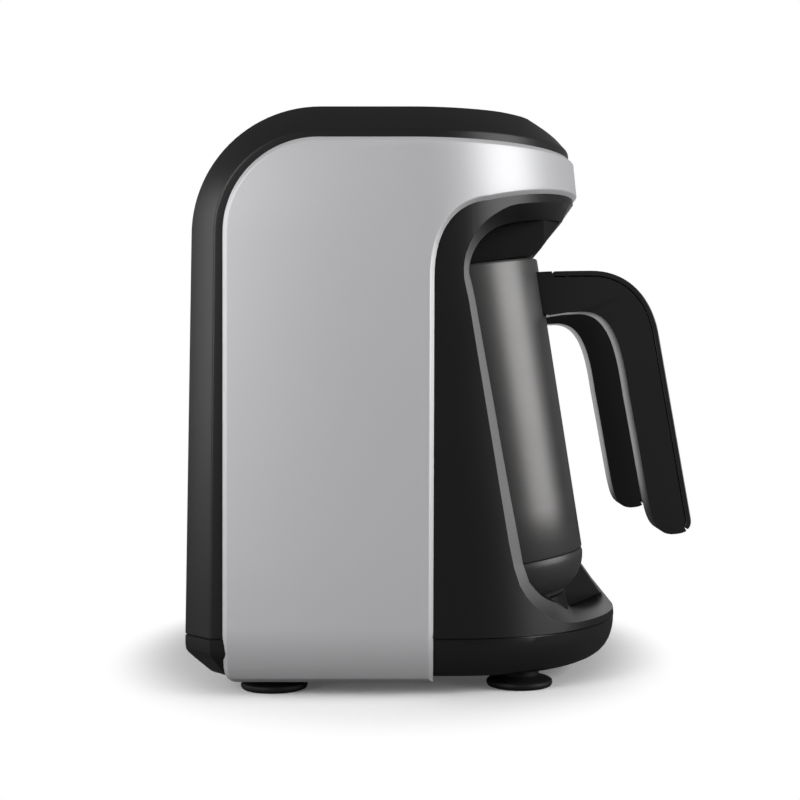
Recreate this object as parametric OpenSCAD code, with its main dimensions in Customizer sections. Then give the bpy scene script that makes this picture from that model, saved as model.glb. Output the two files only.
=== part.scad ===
// Twin electric turkish coffee maker: two tilted pots in open bays under a wrapped metal band.
// Units are millimetres. +Z is up, +X is the front, and the origin is the centre of the base.

/* [Body] */
// Width of the black housing, without the metal skin
housing_w = 260; // [252:1:270]
// Height of the flat top
top_z = 249.5; // [244:0.5:255]
// X of the rear face at the seam
rear_x = -110.5; // [-114:0.5:-108]
// X of the front face at the lip
front_x = 78.8; // [76:0.2:82]
// Height of the seam between the bottom shell and the upper housing
seam_z = 25.6; // [23:0.1:27]
// Height of the underside of the bottom shell
underside_z = 8; // [7:0.5:10]
// Thickness of the moulded walls
wall = 3; // [2.5:0.1:3.5]
// Thickness of the wrapped metal skin
skin = 2; // [1.5:0.1:2.5]

/* [Bays] */
// Distance between the two pot axes
pot_pitch = 144; // [140:1:148]
// Backward tilt of both pots, in degrees
tilt = 8.9; // [7:0.1:10]
// Radius of the round back of each bay
bay_r = 40; // [39.5:0.5:41]
// Thickness of the divider between the bays
divider_w = 20; // [16:1:24]

/* [Pots] */
// Outer radius of a pot
pot_r = 37; // [35:0.5:37.5]
// Height of a pot, along its axis
pot_h = 149.3; // [140:0.1:150]
// Height of the rounded pot base
base_h = 18; // [15:0.5:20]
// Height of the rim band
rim_h = 4.6; // [3:0.1:6]
// Width of a handle
handle_w = 24; // [18:1:28]

/* [Controls] */
// Radius of a button cap
button_r = 5.2; // [4:0.1:6]
// Press travel of a button
button_travel = 1.5; // [1:0.1:1.5]

/* [Feet] */
// Radius of a foot
foot_r = 14.4; // [12:0.1:16]
// Height of a foot's disc
foot_h = 4; // [3:0.5:5]

/* [Quality] */
// Facets of round parts
$fn = 72; // [48:8:96]

/* [Hidden] */

left = -1;
right = 1;
eps = 0.5;
big = 400;
slack = 0.05;

// Housing shape
side_y = housing_w / 2;
rear_lean = 0.0152;
front_lean = 0.0995;
lip_z = 28.5;
tray_top = 27.5;
tub_chamfer = 11.4;
tub_chamfer_z = 18.8;
tub_front_z = 12.5;
tub_front_inset = 3;
corner_a = 72.5;
corner_b = 85;
bevel_x = 12.3;
bevel_y = 14;
bevel_z = 12.1;
top_arc = [54.9, 54.8];
top_arc_x = -53;
crease_arc = [43.2, 42.7];
crease_z = top_z - bevel_z;
front_top_z = 238;
nose_top_z = 240.2;
arc_power = 2;
arc_steps = 10;
flat_end_x = 20;
slope_x = 36.5;
slope_z = 248.2;
split_x = -8;
band_top_z = 234.5;

// Bays and pots
pot_x = 28.3;
pot_z = 34.66;
pot_y = pot_pitch / 2;
seat_gap = 0.1;
bay_line_x = 10.9;
bay_line_z = 178;
bay_line_slope = 0.178;
bay_top_z = 202.5;
bay_top_grow = 1.5;
cheek_bevel = 4;
cheek_depth = 18;
fascia_foot = [42.2, 191.4];
fascia_slope = 1.26;
fascia_top_z = 214.5;
lens_r = 6;
cup_wall = 1.2;
cup_gap = 0.8;
cup_floor = 24;
waist_r = 26.2;
base_arc = [17, 18];
base_arc_end = 67;
pin_r = 1.2;
pin_gap = 0.5;
pin_pitch = 7;
pin_v = 10.4;
pin_len = 10.1;
contact_t = 2.6;
handle_screw_v = 133;
back_t = 2.8;

// Control face: a slope between the top and the front
slope_angle = atan((slope_z - nose_top_z) / (nose_x(front_top_z) - slope_x));
face_x = 47.2;
face_z = top_height(face_x);
face_len = 108;
face_depth = 14.5;
plate_t = 1.6;
fit_gap = 0.25;
ledge = 1;
flange_r = button_r + 0.7;
board_drop = 11;
board_len = 105;
switch_h = 2.9;
button_ys = [-43, -25, 25, 43];
lamp_ys = [-34, 34];
plate_posts = [-50.6, -14, 14, 50.6];
post_r = 1.6;
lamp_r = 1.5;
stem_len = board_drop - switch_h - button_travel - 0.3;

// Feet and screws
foot_front = [32.4, 98];
foot_rear = [-73.9, 104];
stem_r = 8.5;
screw_r = 1.8;
screw_places = [[-86, -70], [-86, 70], [10, -70], [10, 70]];

// Boards and frame
frame_x = -70;
board_x = -63;
board_t = 1.6;
board_posts = [[-80, 70], [80, 70], [-80, 150], [80, 150]];
gland_y = 80;
gland_z = 44;
gland_x = -110.2;
gland_len = 12;
gland_bore_r = 3.6;

function corner_x(z) = front_x - corner_a - front_lean * (z - lip_z);
function nose_x(z) = corner_x(z) + corner_a;
function tail_x(z) = rear_x + rear_lean * (z - seam_z);
function power(v) = sign(v) * pow(abs(v), 2 / arc_power);
function arc_points(centre, radii, from, to) = [
  for (i = [0:arc_steps])
    let (a = from + (to - from) * i / arc_steps)
      [centre[0] + radii[0] * power(cos(a)), centre[1] + radii[1] * power(sin(a))]
];
function reversed(list) = [for (i = [len(list) - 1:-1:0]) list[i]];
function mirrored(list) = [for (p = list) [p[0], -p[1]]];

// Height of the top surface over x: flat, a short fall, then the control slope
function top_height(x) = lookup(x, [
  [flat_end_x, top_z], [slope_x, slope_z], [nose_x(front_top_z), nose_top_z]
]);
top_knots = [flat_end_x, slope_x];
slices = [side_y - corner_b, 80, 100, side_y - bevel_y];

// Outline of the housing seen from above at height z, inset by s
function half_plan(z, s) = concat(
  [[tail_x(z) + s, side_y - bevel_y - s / 2], [tail_x(z) + bevel_x + s / 2, side_y - s]],
  [for (i = [0:arc_steps])
    let (a = 90 - 90 * i / arc_steps)
      [corner_x(z) + (corner_a - s) * cos(a), side_y - corner_b + (corner_b - s) * sin(a)]]
);
function plan(z, s) = concat(half_plan(z, s), reversed(mirrored(half_plan(z, s))));
function front_half_plan(z, s) = [for (p = half_plan(z, s)) if (p[0] >= corner_x(z)) p];
function front_plan(z, s) = concat(front_half_plan(z, s), reversed(mirrored(front_half_plan(z, s))));

// Outline of the housing seen from the side, cut off at end_x and inset by s
function side_outline(end_x, s) = concat(
  [[tail_x(seam_z) + s, seam_z]],
  arc_points([top_arc_x, top_z - top_arc[1]], top_arc - [s, s], 180, 90),
  [[end_x, top_z - s], [end_x, seam_z]]
);
// Its front part between start_x and end_x, which only a narrower slice of the body has
function nose_outline(start_x, end_x, s) = concat(
  [[0, lip_z]],
  [for (x = top_knots) if (x > start_x && x < end_x) [x, top_height(x) - s]],
  [[end_x, top_height(end_x) - s], [end_x - 1, lip_z]]
);
function crease_outline(s) = concat(
  [[tail_x(seam_z) + bevel_x + s, seam_z]],
  arc_points([top_arc_x, crease_z - crease_arc[1]], crease_arc - [s, s], 180, 90),
  [[corner_x(crease_z), crease_z - s], [corner_x(seam_z), seam_z]]
);

// X reached by the top surface at distance y from the middle
function top_reach(y) =
  let (inset = side_y - bevel_y - y, k = max(0, (corner_b - inset) / corner_b))
    corner_x(front_top_z) + corner_a * sqrt(max(0, 1 - k * k));

// Points of a cubic curve with four control points, from the given step on
function cubic(p, t) = pow(1 - t, 3) * p[0] + 3 * t * pow(1 - t, 2) * p[1]
  + 3 * t * t * (1 - t) * p[2] + pow(t, 3) * p[3];
function corner(p, first = 0) = [for (i = [first:8]) cubic(p, i / 8)];

// Slanted face that runs from the front of the heads up to the nose of the body
function fascia_x(z) = fascia_foot[0] + (z - fascia_foot[1]) / fascia_slope;

// Side outline of the open bay: the cheek edge with round corners, grown by g
function bay_line(z) = bay_line_x + (bay_line_z - z) * bay_line_slope;
bay_corner = [24, 24.5];
foot_top_z = 64.6;
bay_foot_x = 58;
function bay_outline(g) = concat(
  [[big, fascia_top_z + g], [fascia_x(fascia_top_z) - g / 3, fascia_top_z + g]],
  [[fascia_x(bay_top_z) - g / 2, bay_top_z + bay_top_grow * g]],
  arc_points([bay_line(bay_line_z) + bay_corner[0], bay_top_z - bay_corner[1]],
             bay_corner + [g, bay_top_grow * g], 90, 180),
  corner([[bay_line(foot_top_z) - g, foot_top_z], [32.5 - g, 46 - g / 3],
          [41 - g / 2, 30 - g], [bay_foot_x, tray_top - g]]),
  [[big, tray_top - g]]
);

module slab_z(z, t = eps) {
  translate([0, 0, z]) linear_extrude(t) children();
}

module slab_y(half_width) {
  translate([0, half_width, 0]) rotate([90, 0, 0]) linear_extrude(2 * half_width) children();
}

module zone(x0, x1, z0, z1) {
  translate([x0, -big / 2, z0]) cube([x1 - x0, big, z1 - z0]);
}

module pot_frame(side) {
  translate([pot_x, side * pot_y, pot_z]) rotate([0, -tilt, 0]) children();
}

module face_frame() {
  translate([face_x, 0, face_z]) rotate([0, slope_angle, 0]) children();
}

// Outer shape of the upper housing, inset by s
module envelope(s) {
  hull() {
    slab_y(slices[3] - s) polygon(side_outline(top_reach(slices[3]) - s, s));
    for (i = [0:2]) slab_y(slices[i] - s)
      polygon(nose_outline(top_reach(slices[i + 1]), top_reach(slices[i]) - s, s));
    slab_y(side_y - s) polygon(crease_outline(s));
    slab_z(seam_z) polygon(plan(seam_z, s));
    slab_z(front_top_z - s - eps) polygon(front_plan(front_top_z, s));
  }
}

// Side outline of the metal skin: a tall panel whose top runs forward as a band
panel_rear = -92.8;
panel_front = -5;
panel_bottom = 6;
panel_arc = [39.8, 39.8];
panel_arc_x = -53;
band_front_z = 216.3;
band_turn = [17.9, 208.9];

module panel_outline() {
  polygon(concat(
    [[panel_rear + 3.6, panel_bottom], [panel_rear, panel_bottom + 5]],
    arc_points([panel_arc_x, band_top_z - panel_arc[1]], panel_arc, 180, 90),
    [[big, band_top_z], [big, band_front_z]],
    corner([[60, band_front_z], [48, 215.6], [32, 212.6], band_turn]),
    corner([band_turn, [5, 207.2], [panel_front, 197], [panel_front, 176]], 1),
    [[panel_front, panel_bottom]]
  ));
}

// Part of the flat sides that the skin covers
side_wall_rear = -88;
side_wall_front = -15;
side_wall_arc = [32, 42];
module side_wall_outline() {
  polygon(concat(
    [[side_wall_rear, seam_z]],
    arc_points([side_wall_rear + side_wall_arc[0], band_top_z - 5 - side_wall_arc[1]],
               side_wall_arc, 180, 90),
    [[side_wall_front, band_top_z - 5], [side_wall_front, seam_z]]
  ));
}

// Body of the skin: straight sides whose lower edge curls under
module skin_body(s) {
  hull() {
    slab_z(band_top_z + 1) polygon(plan(band_top_z, s));
    slab_z(tub_chamfer_z) polygon(plan(24, s));
    slab_z(16) polygon(plan(24, s + 0.8));
    slab_z(10) polygon(plan(24, s + 2.6));
    slab_z(panel_bottom - 1) polygon(plan(24, s + 5.2));
  }
}

module wrap_panel() {
  color([0.72, 0.72, 0.73]) intersection() {
    difference() {
      skin_body(-skin);
      skin_body(0);
    }
    slab_y(side_y + 10) panel_outline();
  }
}

module main_housing() {
  color([0.16, 0.16, 0.16]) difference() {
    envelope(0);
    envelope(wall);
    zone(split_x, big, 0, band_top_z);
    zone(-big, big, 0, seam_z);
    for (side = [left, right]) side_plate(side, wall + 2) side_wall_outline();
    face_frame() panel_pocket();
    translate([rear_x - 5, gland_y, gland_z]) rotate([0, 90, 0]) cylinder(r = 8.05, h = 20);
  }
}

module side_plate(side, t) {
  translate([0, side * (side_y - wall / 2), 0]) slab_y(t / 2) children();
}

// Flat inner wall under the skin, on each side
module side_wall(side) {
  color([0.18, 0.18, 0.18]) side_plate(side, wall - 2 * slack) side_wall_outline();
}

// Seat of the control insert: a recess with a narrower window through it
module panel_pocket() {
  translate([-face_depth / 2, -face_len / 2, -plate_t]) cube([face_depth, face_len, 20]);
  translate([-face_depth / 2 + ledge, -face_len / 2 + ledge, -12])
    cube([face_depth - 2 * ledge, face_len - 2 * ledge, 20]);
}

// Space of the open bays: it widens towards both sides of the body, and g makes it larger
module bay_space(g) {
  slab_y(side_y - cheek_depth) polygon(bay_outline(g));
  for (side = [left, right]) hull() {
    translate([0, side * (side_y - cheek_depth), 0]) slab_y(eps) polygon(bay_outline(g));
    translate([0, side * (side_y + 1), 0]) slab_y(eps) polygon(bay_outline(g + cheek_bevel));
  }
}

module pot_space(side, r) {
  pot_frame(side) translate([0, 0, -20]) cylinder(r = r, h = 230);
}

// Black moulding with the cheeks, the ceiling and the slanted face over the bays
module front_housing() {
  color([0.14, 0.14, 0.14]) difference() {
    intersection() {
      envelope(0);
      zone(split_x, big, tray_top, band_top_z);
    }
    difference() {
      envelope(wall);
      bay_space(wall);
    }
    bay_space(0);
    for (side = [left, right]) pot_space(side, bay_r);
  }
}

// Round back of a bay, closed at its top
module bay_liner(side) {
  color([0.12, 0.12, 0.12]) difference() {
    intersection() {
      pot_space(side, bay_r + wall);
      zone(-big, big, tray_top, bay_top_z + wall);
    }
    bay_space(wall);
    intersection() {
      pot_space(side, bay_r);
      zone(-big, big, 0, bay_top_z);
    }
  }
}

// Hollow divider, open to the rear: its front edge follows the pots and drops at a slant to the lip
module divider() {
  foot = [51.5, 64];
  top_front = foot[0] - (bay_top_z - foot[1]) * tan(tilt);
  front = [
    [0, tray_top], [76.8, tray_top], [67, 42], [55.5, 55.5], foot, [top_front, bay_top_z], [0, bay_top_z]
  ];
  color([0.13, 0.13, 0.13]) difference() {
    slab_y(divider_w / 2) intersection() {
      polygon(bay_outline(0));
      polygon(front);
    }
    slab_y(divider_w / 2 - wall) intersection() {
      polygon(bay_outline(1));
      offset(delta = -wall) polygon(front);
    }
  }
}

// Scooped tray under the pots, with a thin raised rim round its front
module floor_tray() {
  color([0.2, 0.2, 0.2]) difference() {
    union() {
      intersection() {
        hull() {
          slab_z(seam_z) polygon(plan(seam_z, 0));
          slab_z(lip_z - eps) polygon(plan(lip_z, 0));
        }
        union() {
          zone(split_x, big, seam_z, tray_top);
          zone(bay_foot_x, big, tray_top, lip_z);
        }
      }
      translate([split_x - 16, -side_y + 8, seam_z])
        cube([16, housing_w - 16, tray_top - seam_z]);
    }
    slab_z(tray_top, 5) polygon(plan(lip_z, 1.8));
  }
}

// Shallow tub under the seam, chamfered at the rear and fuller round the front
module tub(s) {
  hull() {
    slab_z(tub_chamfer_z, seam_z - tub_chamfer_z) polygon(plan(seam_z, s));
    slab_z(tub_front_z) polygon(front_plan(seam_z, s + tub_front_inset));
    slab_z(underside_z + s) polygon(plan(seam_z, s + tub_chamfer));
  }
}

module bottom_shell() {
  color([0.15, 0.15, 0.15]) difference() {
    tub(0);
    difference() {
      tub(wall);
      for (p = screw_places) translate([p[0], p[1], 0]) cylinder(r = 5.5, h = underside_z + 5);
    }
    slab_z(seam_z - 2, 4) polygon(plan(seam_z, wall));
    for (p = screw_places) translate([p[0], p[1], 0]) {
      cylinder(r = 4, h = underside_z + 2.5);
      cylinder(r = screw_r + 0.2, h = 40);
    }
    for (i = [-3:3]) translate([-20, i * 12 - 1.5, 0]) cube([36, 3, underside_z + wall + 1]);
  }
}

module base_screws() {
  color([0.6, 0.6, 0.6]) for (p = screw_places) translate([p[0], p[1], underside_z]) {
    cylinder(r = 3.4, h = 2.4);
    cylinder(r = screw_r, h = 12);
  }
}

module foot(place) {
  color([0.08, 0.08, 0.08]) translate([place[0], place[1], 0]) {
    rotate_extrude() polygon(concat(
      [[0, 0], [foot_r - 1.2, 0]],
      [for (i = [0:6]) let (a = -60 + 25 * i) [foot_r - 1.4 + 1.4 * cos(a), 1.6 + 1.6 * sin(a)]],
      [[stem_r, foot_h], [0, foot_h]]
    ));
    translate([0, 0, foot_h]) cylinder(r = stem_r, h = underside_z - foot_h);
  }
}

// Frame inside the rear column: a base plate and an upright that carries the power board
module inner_frame() {
  color([0.6, 0.6, 0.58]) difference() {
    union() {
      translate([-96, -100, underside_z + 5]) cube([56, 200, 2]);
      translate([frame_x - 2, -95, underside_z + 7]) cube([2, 190, 150]);
      for (p = board_posts) translate([frame_x, p[0], p[1]])
        rotate([0, 90, 0]) cylinder(r = 3.6, h = board_x - frame_x);
    }
    for (p = board_posts) translate([frame_x - 5, p[0], p[1]])
      rotate([0, 90, 0]) cylinder(r = 1.3, h = 40);
    for (p = screw_places) translate([p[0], p[1], 0]) cylinder(r = 6, h = 60);
    translate([frame_x - 5, gland_y - 26, 18]) cube([10, 32, 20]);
  }
}

module power_board() {
  color([0.1, 0.35, 0.18]) difference() {
    translate([board_x, -88, 60]) cube([board_t, 176, 100]);
    for (p = board_posts) translate([board_x - 5, p[0], p[1]])
      rotate([0, 90, 0]) cylinder(r = 1.6, h = 20);
  }
}

module board_screws() {
  color([0.65, 0.65, 0.66]) for (p = board_posts) translate([board_x, p[0], p[1]])
    rotate([0, 90, 0]) {
      translate([0, 0, board_t]) cylinder(r = 2.8, h = 2);
      translate([0, 0, -5]) cylinder(r = 1.25, h = 5 + board_t);
    }
}

module transformer() {
  color([0.35, 0.33, 0.3]) translate([board_x + board_t, -24, 66]) {
    cube([26, 48, 8]);
    translate([0, 0, 32]) cube([26, 48, 8]);
    translate([3, 0, 8]) cube([20, 48, 24]);
  }
}

module relays() {
  color([0.12, 0.25, 0.5]) for (y = [-64, 46])
    translate([board_x + board_t, y, 106]) cube([15, 18, 20]);
}

module terminal_block() {
  color([0.2, 0.4, 0.3]) translate([board_x + board_t, 50, 66]) difference() {
    cube([11, 20, 10]);
    for (i = [0:2]) translate([5.5, 4 + 6 * i, 4]) cylinder(r = 1.6, h = 10);
  }
}

module strand(a, b, r) {
  d = b - a;
  translate(a) rotate([0, acos(d[2] / norm(d)), atan2(d[1], d[0])])
    translate([0, 0, -r]) cylinder(r = r, h = norm(d) + 2 * r, $fn = 8);
}

module wiring_loom() {
  r = 2.4;
  route = [
    [board_x + 7, 60, 63.4], [board_x + 7, 60, 28], [-86, gland_y, 28], [-86, gland_y, gland_z],
    [-91, gland_y, gland_z]
  ];
  color([0.3, 0.3, 0.32]) for (i = [0:len(route) - 2]) strand(route[i], route[i + 1], r);
}

// Bushing of the cord inlet, low on the rear face
module cord_gland() {
  color([0.1, 0.1, 0.1]) translate([gland_x, gland_y, gland_z]) rotate([0, 90, 0]) difference() {
    union() {
      cylinder(r = 8, h = gland_len);
      translate([0, 0, 3.6]) cylinder(r = 11, h = 4);
    }
    translate([0, 0, -1]) cylinder(r = gland_bore_r, h = gland_len + 2);
  }
}

// Glossy insert in the control slope, with holes for the caps and lamps
module control_panel() {
  color([0.07, 0.07, 0.08]) face_frame() difference() {
    union() {
      translate([-face_depth / 2 + fit_gap, -face_len / 2 + fit_gap, -plate_t])
        cube([face_depth - 2 * fit_gap, face_len - 2 * fit_gap, plate_t]);
      for (y = plate_posts) translate([0, y, -board_drop]) cylinder(r = post_r, h = board_drop - 1);
    }
    for (y = button_ys) translate([0, y, -5]) cylinder(r = button_r + fit_gap, h = 10);
    for (y = lamp_ys) translate([0, y, -5]) cylinder(r = lamp_r + 0.1, h = 10);
  }
}

module control_board() {
  color([0.1, 0.35, 0.18]) face_frame()
    translate([-6, -board_len / 2, -board_drop - board_t]) cube([12, board_len, board_t]);
}

module button_switches() {
  color([0.25, 0.25, 0.26]) face_frame() for (y = button_ys) {
    translate([-3, y - 3, -board_drop]) cube([6, 6, 2]);
    translate([0, y, -board_drop]) cylinder(r = 1.6, h = switch_h);
  }
}

module indicator_lights() {
  color([0.9, 0.9, 0.85]) face_frame() for (y = lamp_ys)
    translate([0, y, -board_drop]) cylinder(r = lamp_r, h = board_drop + 0.1);
}

module buzzer() {
  color([0.05, 0.05, 0.05]) face_frame() translate([0, 0, -board_drop - board_t - 5]) difference() {
    cylinder(r = 5.8, h = 5);
    translate([0, 0, -1]) cylinder(r = 1, h = 3);
  }
}

// Button cap: a shallow dished top, a retaining flange and a stem down to its switch
module button_cap(y) {
  color([0.75, 0.75, 0.76]) face_frame() translate([0, y, 0]) rotate_extrude() polygon([
    [0, 0.6], [button_r - 1.2, 0.75], [button_r - 0.5, 0.9], [button_r, 0.4], [button_r, -2.6],
    [flange_r, -2.6], [flange_r, -3.4], [1.8, -3.4], [1.8, -stem_len], [0, -stem_len]
  ]);
}

// Head that hangs from the ceiling over a pot, its underside parallel to the rim
function plane_z(x, v) = pot_z + (v + (x - pot_x) * sin(tilt)) / cos(tilt);
head_v = pot_h + 0.9;
head_half_w = 18;
module head_outline(s) {
  polygon([
    [fascia_x(bay_top_z) - 1.25 * s, bay_top_z], [fascia_foot[0] - s, fascia_foot[1] + s / 3],
    [40.2 - s, 189.6 + s / 2], [36 - s, plane_z(36 - s, head_v + s)],
    [-34 + s, plane_z(-34 + s, head_v + s)], [-37 + s, bay_top_z]
  ]);
}
module sensor_head(side) {
  color([0.12, 0.12, 0.12]) difference() {
    intersection() {
      translate([0, side * pot_y, 0]) slab_y(head_half_w) head_outline(0);
      union() {
        pot_frame(side) translate([0, 0, head_v - 20]) cylinder(r = bay_r - 1.5, h = 60);
        zone(pot_x - 20, big, 100, bay_top_z);
      }
    }
    intersection() {
      translate([0, side * pot_y, 0]) slab_y(head_half_w - 2.5) head_outline(2.5);
      union() {
        pot_frame(side) translate([0, 0, head_v - 20]) cylinder(r = bay_r - 4, h = 60);
        zone(pot_x - 20, big, 100, bay_top_z + 1);
      }
    }
    pot_frame(side) translate([0, 0, head_v - 5]) cylinder(r = lens_r, h = 12);
  }
}

module sensor_lens(side) {
  color([0.1, 0.1, 0.12]) pot_frame(side) translate([0, 0, head_v + 0.3])
    cylinder(r = lens_r, h = 2.4);
}

module sensor_board(side) {
  color([0.1, 0.35, 0.18]) pot_frame(side) translate([-12, -14, head_v + 6]) cube([24, 28, board_t]);
}

// Low flared pedestal under a pot
module seat(side) {
  color([0.06, 0.06, 0.06]) difference() {
    pot_frame(side) translate([0, 0, -14]) cylinder(r1 = 31.2, r2 = waist_r, h = 14 - seat_gap);
    zone(-big, big, 0, tray_top);
  }
}

// Contact block on the back of a bay, its pins pointing at the pot's socket
module seat_connector(side) {
  color([0.78, 0.62, 0.3]) pot_frame(side) {
    intersection() {
      translate([-bay_r - eps, -11, pin_v - 6]) cube([contact_t + eps, 22, 13]);
      cylinder(r = bay_r - 0.02, h = 60);
    }
    for (i = [-1:1]) translate([-bay_r + contact_t - eps, i * pin_pitch, pin_v]) rotate([0, 90, 0])
      rotate_extrude() polygon([
        [0, 0], [pin_r, 0], [pin_r, pin_len], [pin_r / 2, pin_len + 1], [0, pin_len + 1]
      ]);
  }
}

module pot_cup(side) {
  outer = pot_r - 1 - cup_gap;
  inner = outer - cup_wall;
  color([0.62, 0.61, 0.6]) pot_frame(side) rotate_extrude() polygon([
    [0, cup_floor - 2], [outer - 2, cup_floor - 2], [outer, cup_floor], [outer, pot_h - rim_h],
    [pot_r, pot_h - rim_h], [pot_r, pot_h - 0.8], [pot_r - 0.6, pot_h], [inner + 0.5, pot_h],
    [inner, pot_h - 1], [inner, cup_floor + 3], [inner - 3, cup_floor], [0, cup_floor]
  ]);
}

module pot_sleeve(side) {
  color([0.28, 0.28, 0.29]) pot_frame(side) difference() {
    translate([0, 0, base_h]) cylinder(r = pot_r, h = pot_h - rim_h - base_h);
    translate([0, 0, base_h - 1]) cylinder(r = pot_r - 1, h = pot_h);
    translate([0, 0, handle_screw_v]) rotate([0, 90, 0]) cylinder(r = 1.6, h = pot_r + 5);
  }
}

// Rounded base shell that narrows to a flat waist
module pot_base(side) {
  arc_r = pot_r - base_arc[0];
  color([0.2, 0.2, 0.2]) pot_frame(side) difference() {
    rotate_extrude() polygon(concat(
      [[0, 0], [waist_r - 0.4, 0], [waist_r, 0.5]],
      [for (i = [0:8]) let (a = base_arc_end * (1 - i / 8))
        [arc_r + base_arc[0] * cos(a), base_h - base_arc[1] * sin(a)]],
      [[0, base_h]]
    ));
    rotate_extrude() polygon(concat(
      [[0, 2.4], [waist_r - 3, 2.4]],
      [for (i = [0:8]) let (a = (base_arc_end - 10) * (1 - i / 8))
        [arc_r - 2 + base_arc[0] * cos(a), base_h - base_arc[1] * sin(a) + 0.2]],
      [[pot_r - 2, base_h + 1], [0, base_h + 1]]
    ));
    translate([-bay_r, -11.8, 5.8]) cube([bay_r - 24, 23.6, 9.4]);
  }
}

module pot_heater(side) {
  color([0.5, 0.5, 0.5]) pot_frame(side) {
    translate([0, 0, base_h + 0.4]) cylinder(r = 33, h = cup_floor - 2 - base_h - 0.4);
    translate([0, 0, base_h - 5]) difference() {
      cylinder(r = 24, h = 5.4);
      translate([0, 0, -1]) cylinder(r = 17, h = 8);
    }
  }
}

module pot_socket(side) {
  color([0.15, 0.15, 0.16]) pot_frame(side) difference() {
    translate([-30, -11.6, 6]) cube([5.6, 23.2, 9]);
    for (i = [-1:1]) translate([-31, i * pin_pitch, pin_v]) rotate([0, 90, 0])
      cylinder(r = pin_r + pin_gap, h = 5.6);
  }
}

// Handle outlines in the side view: straight runs joined by cubic corners
handle_outer = concat(
  [[43.3, 181.5], [48.5, 181.7]],
  corner([[65.5, 182], [82.5, 182], [93, 169.5], [95.6, 152.9]]),
  corner([[109.8, 71.5], [110.6, 66], [106.5, 64.5], [101, 64.4]])
);
handle_inner = concat(
  corner([[101, 64.4], [93.5, 64.6], [92.6, 72.5], [91.1, 78.1]]),
  corner([[82.2, 127], [79.6, 143.5], [76.5, 163.5], [62.5, 163.6]]),
  [[54.8, 163.3], [46.5, 162]]
);
handle_root = [[36, 165], [36, 181]];

// Line that runs inside the outer edge at depth d
function inset_point(list, i, d) =
  let (a = list[max(i - 1, 0)], b = list[min(i + 1, len(list) - 1)], t = (b - a) / norm(b - a))
    list[i] + d * [t[1], -t[0]];
back_first = 1;
back_last = 14;
function back_line(d) = [for (i = [back_first:back_last]) inset_point(handle_outer, i, d)];

module handle_core(side) {
  color([0.1, 0.1, 0.1]) difference() {
    translate([0, side * pot_y, 0]) slab_y(handle_w / 2) polygon(concat(
      [for (i = [0:back_first]) handle_outer[i]], back_line(back_t),
      [for (i = [back_last:len(handle_outer) - 1]) handle_outer[i]], handle_inner, handle_root
    ));
    pot_frame(side) cylinder(r = pot_r + slack, h = pot_h);
    pot_frame(side) translate([0, 0, handle_screw_v]) rotate([0, 90, 0])
      cylinder(r = 1.5, h = pot_r + 10.5);
  }
}

module handle_back(side) {
  color([0.07, 0.07, 0.07]) translate([0, side * pot_y, 0]) slab_y(handle_w / 2)
    polygon(concat(back_line(0), reversed(back_line(back_t))));
}

module handle_screw(side) {
  color([0.7, 0.7, 0.7]) pot_frame(side) translate([0, 0, handle_screw_v]) rotate([0, 90, 0]) {
    translate([0, 0, pot_r - 1.7]) cylinder(r = 1.5, h = 11.7);
    translate([0, 0, pot_r - 1.7]) intersection() {
      cylinder(r = 3, h = 0.7);
      translate([-5, -5, 0]) cube([10, 10, 0.6]);
    }
  }
}

wrap_panel();
main_housing();
side_wall(left);  // side_wall_left
side_wall(right);  // side_wall_right
front_housing();
bay_liner(left);  // bay_liner_left
bay_liner(right);  // bay_liner_right
divider();
floor_tray();
bottom_shell();
inner_frame();
control_panel();
control_board();
button_switches();
indicator_lights();
buzzer();
power_board();
transformer();
relays();
terminal_block();
wiring_loom();
cord_gland();
base_screws();
board_screws();
foot([foot_front[0], left * foot_front[1]]);  // foot_front_left
foot([foot_front[0], right * foot_front[1]]);  // foot_front_right
foot([foot_rear[0], left * foot_rear[1]]);  // foot_rear_left
foot([foot_rear[0], right * foot_rear[1]]);  // foot_rear_right
button_cap(button_ys[0]);  // button_left_small
button_cap(button_ys[1]);  // button_left_large
button_cap(button_ys[2]);  // button_right_large
button_cap(button_ys[3]);  // button_right_small
sensor_head(left);  // sensor_head_left
sensor_head(right);  // sensor_head_right
sensor_board(left);  // sensor_board_left
sensor_board(right);  // sensor_board_right
sensor_lens(left);  // sensor_lens_left
sensor_lens(right);  // sensor_lens_right
seat(left);  // seat_left
seat(right);  // seat_right
seat_connector(left);  // seat_connector_left
seat_connector(right);  // seat_connector_right
pot_cup(left);  // pot_cup_left
pot_cup(right);  // pot_cup_right
pot_sleeve(left);  // pot_sleeve_left
pot_sleeve(right);  // pot_sleeve_right
pot_base(left);  // pot_base_left
pot_base(right);  // pot_base_right
pot_heater(left);  // pot_heater_left
pot_heater(right);  // pot_heater_right
pot_socket(left);  // pot_socket_left
pot_socket(right);  // pot_socket_right
handle_core(left);  // handle_core_left
handle_core(right);  // handle_core_right
handle_back(left);  // handle_back_left
handle_back(right);  // handle_back_right
handle_screw(left);  // handle_screw_left
handle_screw(right);  // handle_screw_right
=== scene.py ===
"""Twin electric turkish coffee maker: the visual model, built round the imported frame."""
import logging
import math
from dataclasses import dataclass, field
from enum import Enum
from typing import Callable, Iterable, Sequence

import bmesh
import bpy
from mathutils import Matrix, Vector


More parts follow.
